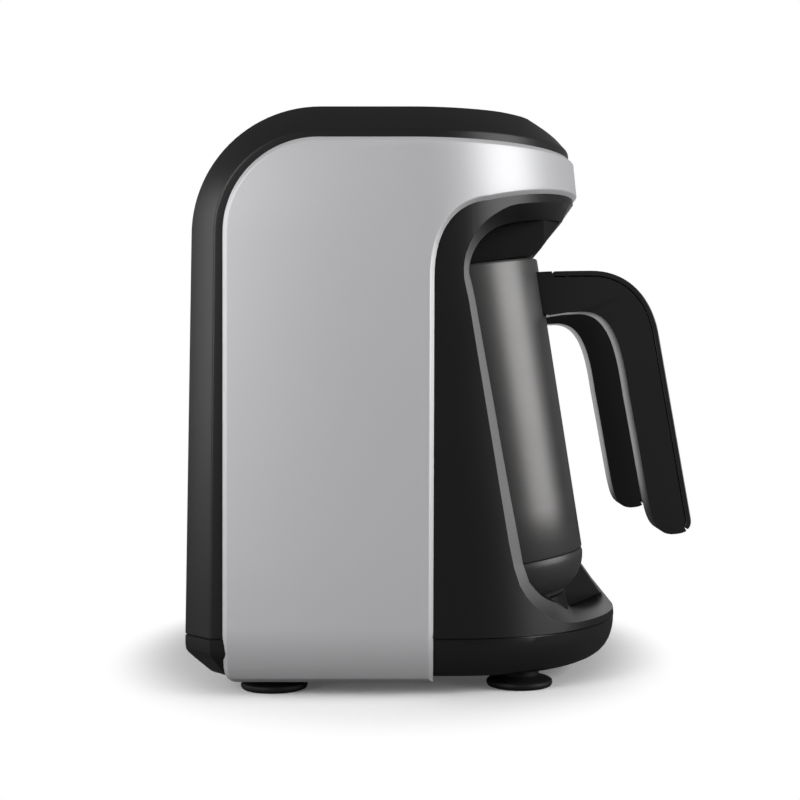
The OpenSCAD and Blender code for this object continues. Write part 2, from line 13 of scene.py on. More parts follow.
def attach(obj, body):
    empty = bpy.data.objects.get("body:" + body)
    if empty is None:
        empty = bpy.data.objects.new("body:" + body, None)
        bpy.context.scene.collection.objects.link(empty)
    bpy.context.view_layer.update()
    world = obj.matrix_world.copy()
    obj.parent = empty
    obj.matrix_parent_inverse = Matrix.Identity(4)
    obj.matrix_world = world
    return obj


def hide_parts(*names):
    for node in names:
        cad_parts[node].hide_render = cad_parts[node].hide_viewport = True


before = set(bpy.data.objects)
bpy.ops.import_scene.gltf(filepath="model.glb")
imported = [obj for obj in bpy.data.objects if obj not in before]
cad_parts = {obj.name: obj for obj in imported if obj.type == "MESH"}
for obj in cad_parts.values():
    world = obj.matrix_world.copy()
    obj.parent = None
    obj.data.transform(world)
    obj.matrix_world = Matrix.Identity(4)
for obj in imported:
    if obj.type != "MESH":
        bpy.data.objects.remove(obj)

logging.basicConfig(level=logging.INFO, format="%(message)s")
LOG = logging.getLogger("coffee_maker")

MM = 0.001
Number = float | int
Point2 = tuple[float, float]
Point3 = tuple[float, float, float]

# Place of the pots: tilt in degrees, distance from the middle, X and Z of the base's centre.
POT_TILT = 8.9
POT_Y = 72.0
POT_FOOT = (28.3, 34.66)
# How close two places count as one, when looking for them and when welding, in millimetres.
NEAR = 0.05
WELD = 0.02


# --- small geometry helpers ---------------------------------------------------------------


class Side(Enum):
    """The two halves of the machine, by the sign of Y."""

    LEFT = -1
    RIGHT = 1

    @property
    def word(self) -> str:
        """The side's word in the names of nodes and pieces."""
        return self.name.lower()


def lerp(a: float, b: float, t: float) -> float:
    """The value at share t of the way from a to b."""
    return a + (b - a) * t


def table(x: float, knots: Sequence[Point2]) -> float:
    """Looks x up in a table of knots, with straight runs between them.

    Args:
        x: The place to look up.
        knots: Pairs of place and value, in rising order of place.

    Returns:
        The value at x, held constant outside the table.
    """
    if x <= knots[0][0]:
        return knots[0][1]
    for (x0, v0), (x1, v1) in zip(knots, knots[1:]):
        if x <= x1:
            return lerp(v0, v1, (x - x0) / (x1 - x0))
    return knots[-1][1]


def cubic(p: Sequence[Point2], steps: int = 10, first: int = 0) -> list[Point2]:
    """Points of a cubic curve.

    Args:
        p: Its four control points.
        steps: How many runs it is cut into.
        first: The index of the first point that is returned.

    Returns:
        The points, the last control point included.
    """
    points = []
    for i in range(first, steps + 1):
        t = i / steps
        w = ((1 - t) ** 3, 3 * t * (1 - t) ** 2, 3 * t * t * (1 - t), t ** 3)
        points.append(tuple(sum(w[k] * p[k][axis] for k in range(4)) for axis in (0, 1)))
    return points


def round_arc(centre: Point2, radii: Point2, start: float, end: float,
              steps: int) -> list[Point2]:
    """Points of an elliptic arc.

    Args:
        centre: Its centre.
        radii: Its half axes.
        start: The first angle, in degrees.
        end: The last angle, in degrees.
        steps: How many runs it is cut into.

    Returns:
        The points, both ends included.
    """
    angles = [math.radians(lerp(start, end, i / steps)) for i in range(steps + 1)]
    return [(centre[0] + radii[0] * math.cos(a), centre[1] + radii[1] * math.sin(a))
            for a in angles]


# --- shader maths ---------------------------------------------------------------------------


def operator(operation: str) -> Callable[["Value", "Value | Number"], "Value"]:
    """An operator of a value, which adds one Math node.

    Args:
        operation: The node's operation.

    Returns:
        The operator.
    """
    def apply(value: "Value", other: "Value | Number") -> "Value":
        """The value and another, put through the operation."""
        return value.math(operation, other)

    return apply


class Value:
    """A float socket of a material, with Python's operators for its maths."""

    __add__ = __radd__ = operator("ADD")
    __sub__ = operator("SUBTRACT")
    __mul__ = __rmul__ = operator("MULTIPLY")
    __truediv__ = operator("DIVIDE")
    __gt__ = operator("GREATER_THAN")

    def __init__(self, graph: "Graph", socket: bpy.types.NodeSocket) -> None:
        """Wraps one output socket of a graph."""
        self.graph = graph
        self.socket = socket

    def math(self, operation: str, *others: "Value | Number") -> "Value":
        """Adds a Math node that works on this value and the others."""
        node = self.graph.node("ShaderNodeMath", {"operation": operation},
                               dict(enumerate((self, *others))))
        return Value(self.graph, node.outputs[0])

    def __rsub__(self, other: Number) -> "Value":
        """A number less this value."""
        return (self * -1.0) + other

    def band(self, start: float, end: float) -> "Value":
        """A smooth step from 0 at start to 1 at end."""
        node = self.graph.node(
            "ShaderNodeMapRange",
            {"interpolation_type": "SMOOTHSTEP", "clamp": True},
            {"Value": self, "From Min": start, "From Max": end, "To Min": 0.0, "To Max": 1.0},
        )
        return Value(self.graph, node.outputs["Result"])


class Graph:
    """One node tree, of a material or of the world."""

    def __init__(self, name: str, world: bool = False) -> None:
        """Starts an empty tree.

        Args:
            name: The name of the material or world.
            world: Whether it is the world's tree.
        """
        self.owner = (bpy.data.worlds if world else bpy.data.materials).new(name)
        self.owner.use_nodes = True
        self.tree = self.owner.node_tree
        self.tree.nodes.clear()
        self.output = self.node("ShaderNodeOutputWorld" if world else "ShaderNodeOutputMaterial")

    def node(self, kind: str, settings: dict | None = None,
             inputs: dict | None = None) -> bpy.types.Node:
        """Adds one node.

        Args:
            kind: The node's type.
            settings: Its properties, set before its sockets.
            inputs: Values or links of its input sockets, by name or index.

        Returns:
            The node.
        """
        node = self.tree.nodes.new(kind)
        for key, value in (settings or {}).items():
            setattr(node, key, value)
        for key, value in (inputs or {}).items():
            self.feed(node.inputs[key], value)
        return node

    def feed(self, socket: bpy.types.NodeSocket, value: object) -> None:
        """Links or sets one input socket."""
        if isinstance(value, Value):
            self.tree.links.new(value.socket, socket)
        elif isinstance(value, bpy.types.NodeSocket):
            self.tree.links.new(value, socket)
        else:
            socket.default_value = value

    def axis(self, name: str, source: str = "Object") -> Value:
        """The object coordinate X, Y or Z, in metres, or another coordinate."""
        place = self.node("ShaderNodeTexCoord").outputs[source]
        split = self.node("ShaderNodeSeparateXYZ", inputs={0: place})
        return Value(self, split.outputs[name])

    def ray(self, *kinds: str) -> Value:
        """1 for rays of the kinds that are named, else 0."""
        path = self.node("ShaderNodeLightPath")
        return sum((Value(self, path.outputs[f"Is {kind} Ray"]) for kind in kinds), 0.0) > 0.5

    def noise(self, scale: float, detail: float = 2.0,
              stretch: Point3 = (1.0, 1.0, 1.0)) -> Value:
        """Noise on object coordinates.

        Args:
            scale: Its frequency, per metre.
            detail: Its octaves.
            stretch: How often it repeats along each axis.

        Returns:
            The noise, from 0 to 1.
        """
        place = self.node("ShaderNodeTexCoord").outputs["Object"]
        mapped = self.node("ShaderNodeMapping", inputs={"Vector": place, "Scale": stretch})
        node = self.node("ShaderNodeTexNoise", inputs={
            "Vector": mapped.outputs[0], "Scale": scale, "Detail": detail})
        return Value(self, node.outputs[0])

    def blend(self, low: Sequence[float], high: Sequence[float],
              share: Value) -> bpy.types.NodeSocket:
        """Mixes two colours by a value."""
        node = self.node("ShaderNodeMix", {"data_type": "RGBA", "clamp_factor": True}, {
            0: share, 6: (*low, 1.0), 7: (*high, 1.0)})
        return node.outputs[2]

    def bump(self, height: Value, distance: float) -> bpy.types.NodeSocket:
        """A normal that follows a height, in metres of relief."""
        node = self.node("ShaderNodeBump", inputs={"Height": height, "Distance": distance})
        return node.outputs[0]

    def surface(self, **sockets: object) -> bpy.types.Material:
        """Closes the tree with one principled shader.

        Args:
            sockets: The shader's values or links, with _ for each space.

        Returns:
            The material.
        """
        shader = self.node("ShaderNodeBsdfPrincipled", inputs={
            key.replace("_", " "): value for key, value in sockets.items()})
        self.feed(self.output.inputs["Surface"], shader.outputs[0])
        return self.owner


# --- finishes -------------------------------------------------------------------------------


@dataclass(frozen=True)
class Finish:
    """A finish of the machine: colour, gloss and the fine texture of a surface."""

    name: str
    color: Point3
    slot: str
    roughness: float = 0.5
    spread: float = 0.12
    grain: float = 2600.0
    relief: float = 0.00002
    metallic: float = 0.0
    specular: float = 0.5
    coat: float = 0.0
    _made: dict = field(default_factory=dict, compare=False, repr=False)

    def material(self) -> bpy.types.Material:
        """The finish's material, made once."""
        if self.name not in self._made:
            self._made[self.name] = self.build(Graph(self.name))
        return self._made[self.name]

    def tint(self, g: Graph, share: Value) -> bpy.types.NodeSocket:
        """The colour, a little darker or lighter by a value."""
        low, high = (tuple(min(1.0, c * (1 + change)) for c in self.color)
                     for change in (-self.spread, self.spread))
        return g.blend(low, high, share)

    def build(self, g: Graph) -> bpy.types.Material:
        """Makes the node tree.

        Args:
            g: The empty graph.

        Returns:
            The material.
        """
        grain, cloud = g.noise(self.grain, 3.0), g.noise(28.0)
        return g.surface(
            Base_Color=self.tint(g, grain * 0.6 + cloud * 0.4),
            Roughness=cloud * (0.16 * self.roughness) + grain * 0.04 + self.roughness * 0.88,
            Metallic=self.metallic, Specular_IOR_Level=self.specular, Coat_Weight=self.coat,
            Normal=g.bump(grain, self.relief))


@dataclass(frozen=True)
class SatinSkin(Finish):
    """Fine satin metal paint of the wrapped skin."""

    def build(self, g: Graph) -> bpy.types.Material:
        """Makes the node tree, as Finish.build does."""
        flake, haze = g.noise(5200.0), g.noise(9.0, 3.0)
        return g.surface(
            Base_Color=self.tint(g, flake * 0.55 + haze * 0.45),
            Roughness=flake * 0.08 + haze * 0.05 + (self.roughness - 0.06),
            Metallic=self.metallic, Specular_IOR_Level=self.specular,
            Normal=g.bump(flake, self.relief))


@dataclass(frozen=True)
class EdgeFinishWithPaintedShade(Finish):
    """Satin grey edge of the bays, with painted shade that darkens it down into the tray and up
    under the nose.
    """

    # Painted shade: its colour, the heights in metres over which it gives way to the grey above the
    # tray, and those over which it comes back towards the nose.
    foot: Point3 = (0.014, 0.014, 0.0145)
    heights: Point2 = (0.029, 0.055)
    nose: Point2 = (0.180, 0.204)

    def build(self, g: Graph) -> bpy.types.Material:
        """Makes the node tree, as Finish.build does."""
        grain = g.noise(self.grain, 3.0)
        height = g.axis("Z")
        # Painted shade: the grey shows only between the tray and the nose, with a little grain.
        share = (height.band(*self.heights) * (1.0 - height.band(*self.nose)) * 0.94
                 + grain * 0.06)
        return g.surface(
            Base_Color=g.blend(self.foot, self.color, share),
            Roughness=grain * 0.06 + self.roughness, Metallic=self.metallic,
            Specular_IOR_Level=self.specular, Normal=g.bump(grain, self.relief))


@dataclass(frozen=True)
class TurnedMetal(Finish):
    """Satin metal with fine rings round an upright axis, as on a drawn pot."""

    rings: float = 900.0

    def build(self, g: Graph) -> bpy.types.Material:
        """Makes the node tree, as Finish.build does."""
        rings = g.noise(self.rings, stretch=(0.04, 0.04, 1.0))
        cloud = g.noise(20.0)
        return g.surface(
            Base_Color=self.tint(g, rings * 0.5 + cloud * 0.5),
            Roughness=rings * 0.1 + cloud * 0.05 + (self.roughness - 0.07),
            Metallic=self.metallic, Specular_IOR_Level=self.specular,
            Normal=g.bump(rings, self.relief))


@dataclass(frozen=True)
class BoardFinish(Finish):
    """Green circuit board with darker tracks under its lacquer."""

    def build(self, g: Graph) -> bpy.types.Material:
        """Makes the node tree, as Finish.build does."""
        tracks = g.node("ShaderNodeTexVoronoi", {"feature": "DISTANCE_TO_EDGE"}, {
            "Vector": g.node("ShaderNodeTexCoord").outputs["Object"], "Scale": 240.0})
        line = Value(g, tracks.outputs["Distance"]).band(0.02, 0.08)
        return g.surface(
            Base_Color=g.blend(tuple(c * 1.9 for c in self.color), self.color, line),
            Roughness=g.noise(60.0) * 0.2 + self.roughness, Specular_IOR_Level=self.specular,
            Normal=g.bump(line, 0.00003))


@dataclass(frozen=True)
class LampFinish(Finish):
    """Clear light pipe with a faint glow."""

    def build(self, g: Graph) -> bpy.types.Material:
        """Makes the node tree, as Finish.build does."""
        cloud = g.noise(400.0)
        return g.surface(
            Base_Color=g.blend(self.color, tuple(min(1.0, c * 1.1) for c in self.color), cloud),
            Roughness=cloud * 0.1 + self.roughness, Coat_Weight=self.coat,
            Emission_Color=(*self.color, 1.0), Emission_Strength=0.15)


class Finishes:
    """Every finish of the machine."""

    skin = SatinSkin("skin_satin", (0.51, 0.51, 0.522), "skin", 0.44, 0.05, relief=0.000012,
                     metallic=0.24)
    shell = Finish("shell_black", (0.0105, 0.010, 0.010), "shell", 0.36, 0.15, specular=0.25)
    moulding = Finish("bay_black", (0.008, 0.008, 0.0085), "bay", 0.34, 0.15, specular=0.25)
    # Grey strip round the bays, with painted shade towards the tray and the nose.
    edge = EdgeFinishWithPaintedShade("bay_edge_grey_painted_shade", (0.22, 0.22, 0.223), "bay", 0.36, metallic=0.25)
    head = Finish("head_black", (0.020, 0.020, 0.0205), "bay", 0.4, 0.12, specular=0.25)
    deep = Finish("bay_deep_black", (0.012, 0.012, 0.0125), "bay", 0.45, 0.15, specular=0.2)
    seat = Finish("seat_black", (0.004, 0.004, 0.004), "bay", 0.5, 0.15, specular=0.15)
    # Dark grey, lighter than the other black plastics as painted light, so that the divider's side
    # shows lit inside the bay.
    divider = Finish("divider_painted_light", (0.04, 0.04, 0.041), "bay", 0.36, 0.1, specular=0.3)
    gloss = Finish("panel_gloss", (0.008, 0.008, 0.009), "panel", 0.12, 0.1, relief=0.000003,
                   coat=0.6)
    cap = Finish("button_satin", (0.46, 0.46, 0.47), "button", 0.32, 0.06, metallic=0.7)
    pot = TurnedMetal("pot_grey", (0.080, 0.078, 0.077), "pot", 0.37, 0.08, relief=0.000006,
                      metallic=0.6)
    base = Finish("pot_base_grey", (0.04, 0.04, 0.041), "pot_base", 0.4, 0.1, metallic=0.2,
                  specular=0.35)
    cup = TurnedMetal("cup_steel", (0.52, 0.51, 0.50), "cup", 0.30, 0.06, relief=0.000005,
                      metallic=0.9)
    handle = Finish("handle_black", (0.0105, 0.0105, 0.0105), "handle", 0.28, 0.15,
                    specular=0.4)
    grip = Finish("grip_soft", (0.009, 0.009, 0.009), "handle_back", 0.3, 0.2, grain=3600.0)
    rubber = Finish("foot_rubber", (0.006, 0.006, 0.006), "rubber", 0.55, 0.2, relief=0.00004,
                    specular=0.2)
    board = BoardFinish("board_green", (0.02, 0.12, 0.05), "board", 0.35)
    component = Finish("component_dark", (0.05, 0.05, 0.055), "component", 0.45)
    relay = Finish("relay_blue", (0.02, 0.07, 0.26), "relay", 0.3)
    core = Finish("core_laminated", (0.12, 0.11, 0.10), "core", 0.55, 0.25, metallic=0.6)
    zinc = Finish("zinc_plate", (0.5, 0.5, 0.5), "zinc", 0.35, 0.1, metallic=0.85)
    brass = Finish("contact_plate", (0.62, 0.46, 0.2), "brass", 0.3, 0.1, metallic=0.9)
    lamp = LampFinish("lamp_clear", (0.8, 0.8, 0.76), "lamp", 0.2, coat=0.5)
    lens = Finish("lens_dark", (0.01, 0.01, 0.014), "lens", 0.08, 0.1, relief=0.000002, coat=0.8)
    wire = Finish("wire_black", (0.03, 0.03, 0.032), "wire", 0.5, 0.2)


# Finishes of the CAD nodes that stay, by the start of their names.
CARRIED = {
    "inner_frame": Finishes.zinc, "control_board": Finishes.board,
    "button_switches": Finishes.component, "buzzer": Finishes.component,
    "power_board": Finishes.board, "transformer": Finishes.core, "relays": Finishes.relay,
    "terminal_block": Finishes.component, "wiring_loom": Finishes.wire,
    "base_screws": Finishes.zinc, "board_screws": Finishes.zinc,
    "side_wall": Finishes.shell, "bay_liner": Finishes.deep, "sensor_board": Finishes.board,
    "sensor_lens": Finishes.lens, "seat_connector": Finishes.brass,
    "pot_heater": Finishes.zinc, "pot_socket": Finishes.component,
    "handle_screw": Finishes.zinc,
}


# --- mesh work ------------------------------------------------------------------------------


class Work:
    """A mesh in progress, in millimetres, and the operators that shape it."""

    def __init__(self) -> None:
        """Starts an empty mesh."""
        self.bm = bmesh.new()

    @property
    def everything(self) -> list:
        """All vertices, edges and faces."""
        return self.bm.verts[:] + self.bm.edges[:] + self.bm.faces[:]

    def face(self, points: Iterable[Sequence[float]]) -> bmesh.types.BMFace:
        """Adds one flat face from its corners."""
        return self.bm.faces.new([self.bm.verts.new(p) for p in points])

    def extrude(self, face: bmesh.types.BMFace, step: Point3) -> list[bmesh.types.BMFace]:
        """Extrudes a face, which stays and closes the back.

        Args:
            face: The face.
            step: How far its copy moves.

        Returns:
            The moved faces.
        """
        made = bmesh.ops.extrude_face_region(self.bm, geom=[face], use_keep_orig=True)
        verts = [e for e in made["geom"] if isinstance(e, bmesh.types.BMVert)]
        bmesh.ops.translate(self.bm, verts=verts, vec=Vector(step))
        return [e for e in made["geom"] if isinstance(e, bmesh.types.BMFace)]

    def prism(self, outline: Sequence[Point2], half: float, centre: float = 0.0) -> None:
        """A solid of an outline in X and Z, across Y from centre - half to centre + half."""
        base = self.face([(x, centre - half, z) for x, z in outline])
        self.extrude(base, (0, 2 * half, 0))
        self.tidy()

    def sweep(self, rails: Sequence[Sequence[Sequence[float]]]) -> None:
        """Lays a surface through rails that have the same number of points.

        Args:
            rails: The rails; the edges of each are extruded to the next.
        """
        verts = [self.bm.verts.new(p) for p in rails[0]]
        edges = [self.bm.edges.new(pair) for pair in zip(verts, verts[1:])]
        for rail in rails[1:]:
            origin, edges = self.extend(edges)
            follow = {old: new for new, old in origin.items()}
            verts = [follow[vert] for vert in verts]
            for vert, place in zip(verts, rail):
                vert.co = Vector(place)

    def extend(self, edges: Sequence[bmesh.types.BMEdge]) -> tuple[dict, list]:
        """Extrudes boundary edges, which stay in place.

        Args:
            edges: The edges.

        Returns:
            For each new vertex the old one, and the new edges.
        """
        ends = {v for e in edges for v in e.verts}
        made = bmesh.ops.extrude_edge_only(self.bm, edges=edges)["geom"]
        origin = {v: next(e.other_vert(v) for e in v.link_edges if e.other_vert(v) in ends)
                  for v in made if isinstance(v, bmesh.types.BMVert)}
        return origin, [e for e in made if isinstance(e, bmesh.types.BMEdge)
                        and all(v in origin for v in e.verts)]

    def spin(self, profile: Sequence[Point2], steps: int) -> None:
        """Turns a profile of radius and height round Z."""
        verts = [self.bm.verts.new((r, 0, v)) for r, v in profile]
        edges = [self.bm.edges.new(pair) for pair in zip(verts, verts[1:])]
        bmesh.ops.spin(self.bm, geom=verts + edges, cent=(0, 0, 0), axis=(0, 0, 1),
                       dvec=(0, 0, 0), angle=math.tau, steps=steps, use_merge=True,
                       use_duplicate=False)
        self.tidy()

    def cut(self, place: Sequence[float], normal: Sequence[float], clear: bool = False) -> None:
        """Cuts along a plane and, if asked, clears what lies in front of it."""
        bmesh.ops.bisect_plane(self.bm, geom=self.everything, dist=1e-5, plane_co=place,
                               plane_no=normal, clear_outer=clear)

    def reshape(self, rule: Callable[[Vector], Sequence[float]]) -> None:
        """Moves every vertex by a rule."""
        for vert in self.bm.verts:
            vert.co = Vector(rule(vert.co.copy()))

    def merge(self, distance: float = 0.01) -> None:
        """Merges doubles."""
        bmesh.ops.remove_doubles(self.bm, verts=self.bm.verts[:], dist=distance)

    def tidy(self, outward_from: Sequence[float] | None = None) -> None:
        """Merges doubles and turns every face outwards.

        Args:
            outward_from: A point inside, for an open surface.
        """
        self.merge()
        bmesh.ops.dissolve_degenerate(self.bm, dist=1e-4, edges=self.bm.edges[:])
        bmesh.ops.recalc_face_normals(self.bm, faces=self.bm.faces[:])
        if outward_from is not None:
            inside = Vector(outward_from)
            total = sum((f.calc_center_median() - inside).dot(f.normal) * f.calc_area()
                        for f in self.bm.faces)
            if total < 0:
                bmesh.ops.reverse_faces(self.bm, faces=self.bm.faces[:])

    def mirror_sides(self, outward_from: Sequence[float]) -> None:
        """Cuts at the middle, keeps the side of negative Y and mirrors it over."""
        self.cut((0, 0, 0), (0, 1, 0), clear=True)
        bmesh.ops.mirror(self.bm, geom=self.everything, matrix=Matrix.Identity(4),
                         merge_dist=WELD, axis="Y")
        self.tidy(outward_from)

    def move(self, matrix: Matrix) -> None:
        """Applies a matrix to every vertex."""
        bmesh.ops.transform(self.bm, matrix=matrix, verts=self.bm.verts[:])

    def round_edges(self, edges: Sequence[bmesh.types.BMEdge], width: float,
                    segments: int = 3) -> None:
        """Bevels edges with a round profile."""
        bmesh.ops.bevel(self.bm, geom=list(edges), offset=width, offset_type="OFFSET",
                        affect="EDGES", segments=segments, profile=0.5, material=-1,
                        clamp_overlap=True)

    def slice(self, normal: Point3, places: Iterable[float]) -> None:
        """Cuts across one axis at several places along it."""
        for place in places:
            self.cut(Vector(normal) * place, normal)

    def cylinder(self, radius: float, depth: float, centre: Point3 = (0, 0, 0),
                 segments: int = 72) -> None:
        """Adds a closed cylinder along Z."""
        bmesh.ops.create_cone(self.bm, cap_ends=True, segments=segments, radius1=radius,
                              radius2=radius, depth=depth, matrix=Matrix.Translation(centre))

    def block(self, size: Point3, centre: Point3 = (0, 0, 0)) -> None:
        """Adds a box."""
        bmesh.ops.create_cube(self.bm, size=1.0, matrix=Matrix.Translation(centre)
                              @ Matrix.Diagonal((*size, 1)))

    def fill(self) -> list[bmesh.types.BMFace]:
        """Closes every open rim and returns the new faces."""
        rims = [e for e in self.bm.edges if e.is_boundary]
        return bmesh.ops.holes_fill(self.bm, edges=rims)["faces"]


def turned(profile: Sequence[Point2], place: Matrix, steps: int = 72) -> Work:
    """A profile of radius and height, turned round Z and put in its place."""
    work = Work()
    work.spin(profile, steps)
    work.move(place)
    return work


@dataclass
class Piece:
    """What is said about a finished mesh: its name, finish, body and the nodes it stands for."""

    name: str
    finish: Finish
    nodes: tuple[str, ...] = ()
    body: str = "housing"
    bevel: float = 0.0
    bevel_angle: float = 30.0
    smooth: float = 35.0
    wall: float = 0.0
    cutters: tuple[bpy.types.Object, ...] = ()
    accent: Finish | None = None

    def publish(self, work: Work) -> None:
        """Makes the object from a mesh, dresses it and puts it on its body.

        Args:
            work: The mesh, in millimetres.
        """
        made = as_object(self.name, work)
        for finish in (self.finish, self.accent):
            if finish:
                made.data.materials.append(finish.material())
        if self.wall:
            shell = made.modifiers.new("wall", "SOLIDIFY")
            shell.thickness, shell.offset = self.wall * MM, -1.0
        for cutter in self.cutters:
            boolean = made.modifiers.new("cut", "BOOLEAN")
            boolean.operation, boolean.solver, boolean.object = "DIFFERENCE", "EXACT", cutter
        if self.wall or self.cutters:
            bake(made)
        for cutter in self.cutters:
            bpy.data.objects.remove(cutter)
        mesh = made.data
        mesh.shade_smooth()
        mesh.set_sharp_from_angle(angle=math.radians(self.smooth))
        if self.bevel:
            edge = made.modifiers.new("edges", "BEVEL")
            edge.width, edge.segments, edge.limit_method = self.bevel * MM, 3, "ANGLE"
            edge.angle_limit = math.radians(self.bevel_angle)
            edge.harden_normals = True
            edge.use_clamp_overlap = True
        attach(made, self.body)
        if self.nodes:
            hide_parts(*self.nodes)
        LOG.info("piece %s: %d faces on %s", self.name, len(mesh.polygons), self.body)


def as_object(name: str, work: Work) -> bpy.types.Object:
    """Makes an object, in metres, from a mesh in millimetres, and frees the mesh."""
    mesh = bpy.data.meshes.new(name)
    work.move(Matrix.Scale(MM, 4))
    work.bm.to_mesh(mesh)
    work.bm.free()
    made = bpy.data.objects.new(name, mesh)
    bpy.context.scene.collection.objects.link(made)
    return made


def bake(made: bpy.types.Object) -> None:
    """Applies an object's modifiers to its mesh."""
    graph = bpy.context.evaluated_depsgraph_get()
    graph.update()
    fresh = bpy.data.meshes.new_from_object(made.evaluated_get(graph))
    made.modifiers.clear()
    made.data = fresh


# --- the body's form ------------------------------------------------------------------------


@dataclass(frozen=True)
class BodyForm:
    """Outer form of the housing on the side of negative Y, as distances from the middle."""

    side_y: float = 130.0
    corner_a: float = 72.5
    corner_b: float = 85.0
    front_x: float = 78.8
    front_lean: float = 0.0995
    lip_z: float = 28.5
    rear_x: float = -110.5
    rear_lean: float = 0.0152
    seam_z: float = 25.6
    bevel_x: float = 12.3
    bevel_y: float = 14.0
    top_z: float = 249.5
    side_crease_z: float = 237.4
    nose_crease_z: float = 238.0
    nose_top_z: float = 240.6
    steps: int = 90

    def corner_x(self, z: float) -> float:
        """X at which the flat side ends and the front corner starts."""
        return self.front_x - self.corner_a - self.front_lean * (z - self.lip_z)

    def nose_x(self, z: float) -> float:
        """X of the flat front."""
        return self.corner_x(z) + self.corner_a

    def tail_x(self, z: float) -> float:
        """X of the rear face."""
        return self.rear_x + self.rear_lean * (z - self.seam_z)

    def top_height(self, x: float) -> float:
        """Height of the top over X: flat, rounded over, then the control slope."""
        return table(x, [(20.0, self.top_z), (25.0, 249.4), (30.0, 249.1), (33.5, 248.85),
                         (36.5, 248.35), (39.5, 247.15), (58.0, self.nose_top_z)])

    def corner_point(self, angle: float, z: float, d: float = 0.0) -> Point3:
        """A point of the front corner, angle 0 at the side and 90 at the front."""
        a = math.radians(angle)
        return (self.corner_x(z) + (self.corner_a + d) * math.sin(a),
                -(self.side_y - self.corner_b + (self.corner_b + d) * math.cos(a)), z)

    def arc(self) -> list[Point2]:
        """Length along the corner, against its angle in degrees."""
        points, total = [(0.0, 0.0)], 0.0
        last = (0.0, self.corner_b)
        for i in range(1, self.steps + 1):
            a = math.radians(90.0 * i / self.steps)
            here = (self.corner_a * math.sin(a), self.corner_b * math.cos(a))
            total += math.dist(last, here)
            points.append((total, 90.0 * i / self.steps))
            last = here
        return points

    def unroll(self, x: float, z: float) -> float:
        """Length along the body, measured as X on the flat side, of the point at X."""
        start = self.corner_x(z)
        if x <= start:
            return x
        angle = math.degrees(math.asin(min(1.0, (x - start) / self.corner_a)))
        return start + table(angle, [(a, s) for s, a in self.arc()])

    def place(self, u: float, z: float, d: float, arc: Sequence[Point2]) -> Point3:
        """The point on the body at an unrolled length, height and distance out of the surface."""
        start = self.corner_x(z)
        run = u - start
        if run <= 0:
            return (u, -(self.side_y + d), z)
        if run >= arc[-1][0]:
            flat = self.side_y - self.corner_b - (run - arc[-1][0])
            return (self.nose_x(z) + d, -flat, z)
        return self.corner_point(table(run, arc), z, d)


FORM = BodyForm()


@dataclass(frozen=True)
class BayLine:
    """Edges of the open bays: on the outside of the body and at the inside of the strip."""

    # Outer edge as X and Z on the body's surface, from the nose round to the lip.
    outer: tuple[Point2, ...] = (
        (56.4, 213.1), (49.1, 211.5), (42.5, 210.4), (36.4, 209.4), (31.8, 208.5), (27.6, 207.2),
        (24.0, 205.3), (20.6, 203.0), (17.8, 200.8), (15.2, 198.2), (13.2, 195.6), (11.4, 192.8),
        (9.76, 189.4), (8.5, 186.0), (7.9, 183.0), (7.6, 179.5), (7.8, 175.5), (8.4, 172.5),
        (9.7, 166.6), (13.0, 146.7), (16.5, 125.6), (20.0, 104.5), (23.5, 83.4), (26.7, 64.2),
        (28.7, 54.6), (31.2, 46.9), (33.9, 42.2), (36.7, 38.9), (39.5, 36.3), (42.3, 34.2),
        (45.2, 32.3), (48.0, 30.9), (51.0, 29.8), (54.0, 29.0), (57.0, 28.6))
    # Inner edge opposite each outer point: X, distance from the middle, Z.
    inner: tuple[Point3, ...] = (
        (52.9, 76.5, 204.3), (49.8, 83.0, 204.3), (45.5, 88.5, 204.1), (41.4, 93.0, 203.6),
        (36.0, 97.8, 202.9), (30.4, 101.5, 201.9), (25.5, 104.6, 200.4), (21.1, 107.0, 198.2),
        (17.6, 108.8, 195.6), (14.7, 110.2, 192.5), (12.8, 111.0, 189.6), (11.6, 111.5, 187.0),
        (10.7, 111.8, 184.3), (10.2, 112.0, 181.4), (10.2, 112.0, 178.6), (10.9, 112.0, 176.2),
        (11.5, 112.0, 173.6), (12.1, 112.0, 171.0), (12.9, 112.0, 167.0), (16.5, 112.0, 146.7),
        (20.3, 112.0, 125.6), (24.0, 112.0, 104.5), (27.8, 112.0, 83.4), (31.2, 112.0, 65.5),
        (33.2, 112.0, 54.6), (36.0, 112.0, 46.6), (38.7, 111.6, 43.2), (41.6, 109.6, 40.3),
        (44.2, 106.0, 38.4), (46.2, 102.0, 37.1), (48.2, 97.0, 35.8), (50.0, 91.5, 34.5),
        (52.0, 84.0, 33.0), (54.3, 74.0, 31.2), (57.6, 62.0, 29.0))
    nose_z: float = 215.0
    fascia_bottom: Point2 = (52.9, 204.3)
    tray_ends: tuple[Point3, Point3] = ((57.6, 62.0, 29.0), (62.4, 10.0, 21.2))

    def tray_back(self, y: float) -> Point3:
        """The tray's rear edge at a distance from the middle."""
        (x0, y0, z0), (x1, y1, z1) = self.tray_ends
        share = min(1.0, max(0.0, (y0 - y) / (y0 - y1)))
        return (lerp(x0, x1, share), y, lerp(z0, z1, share))


BAY = BayLine()


# --- the housing ----------------------------------------------------------------------------


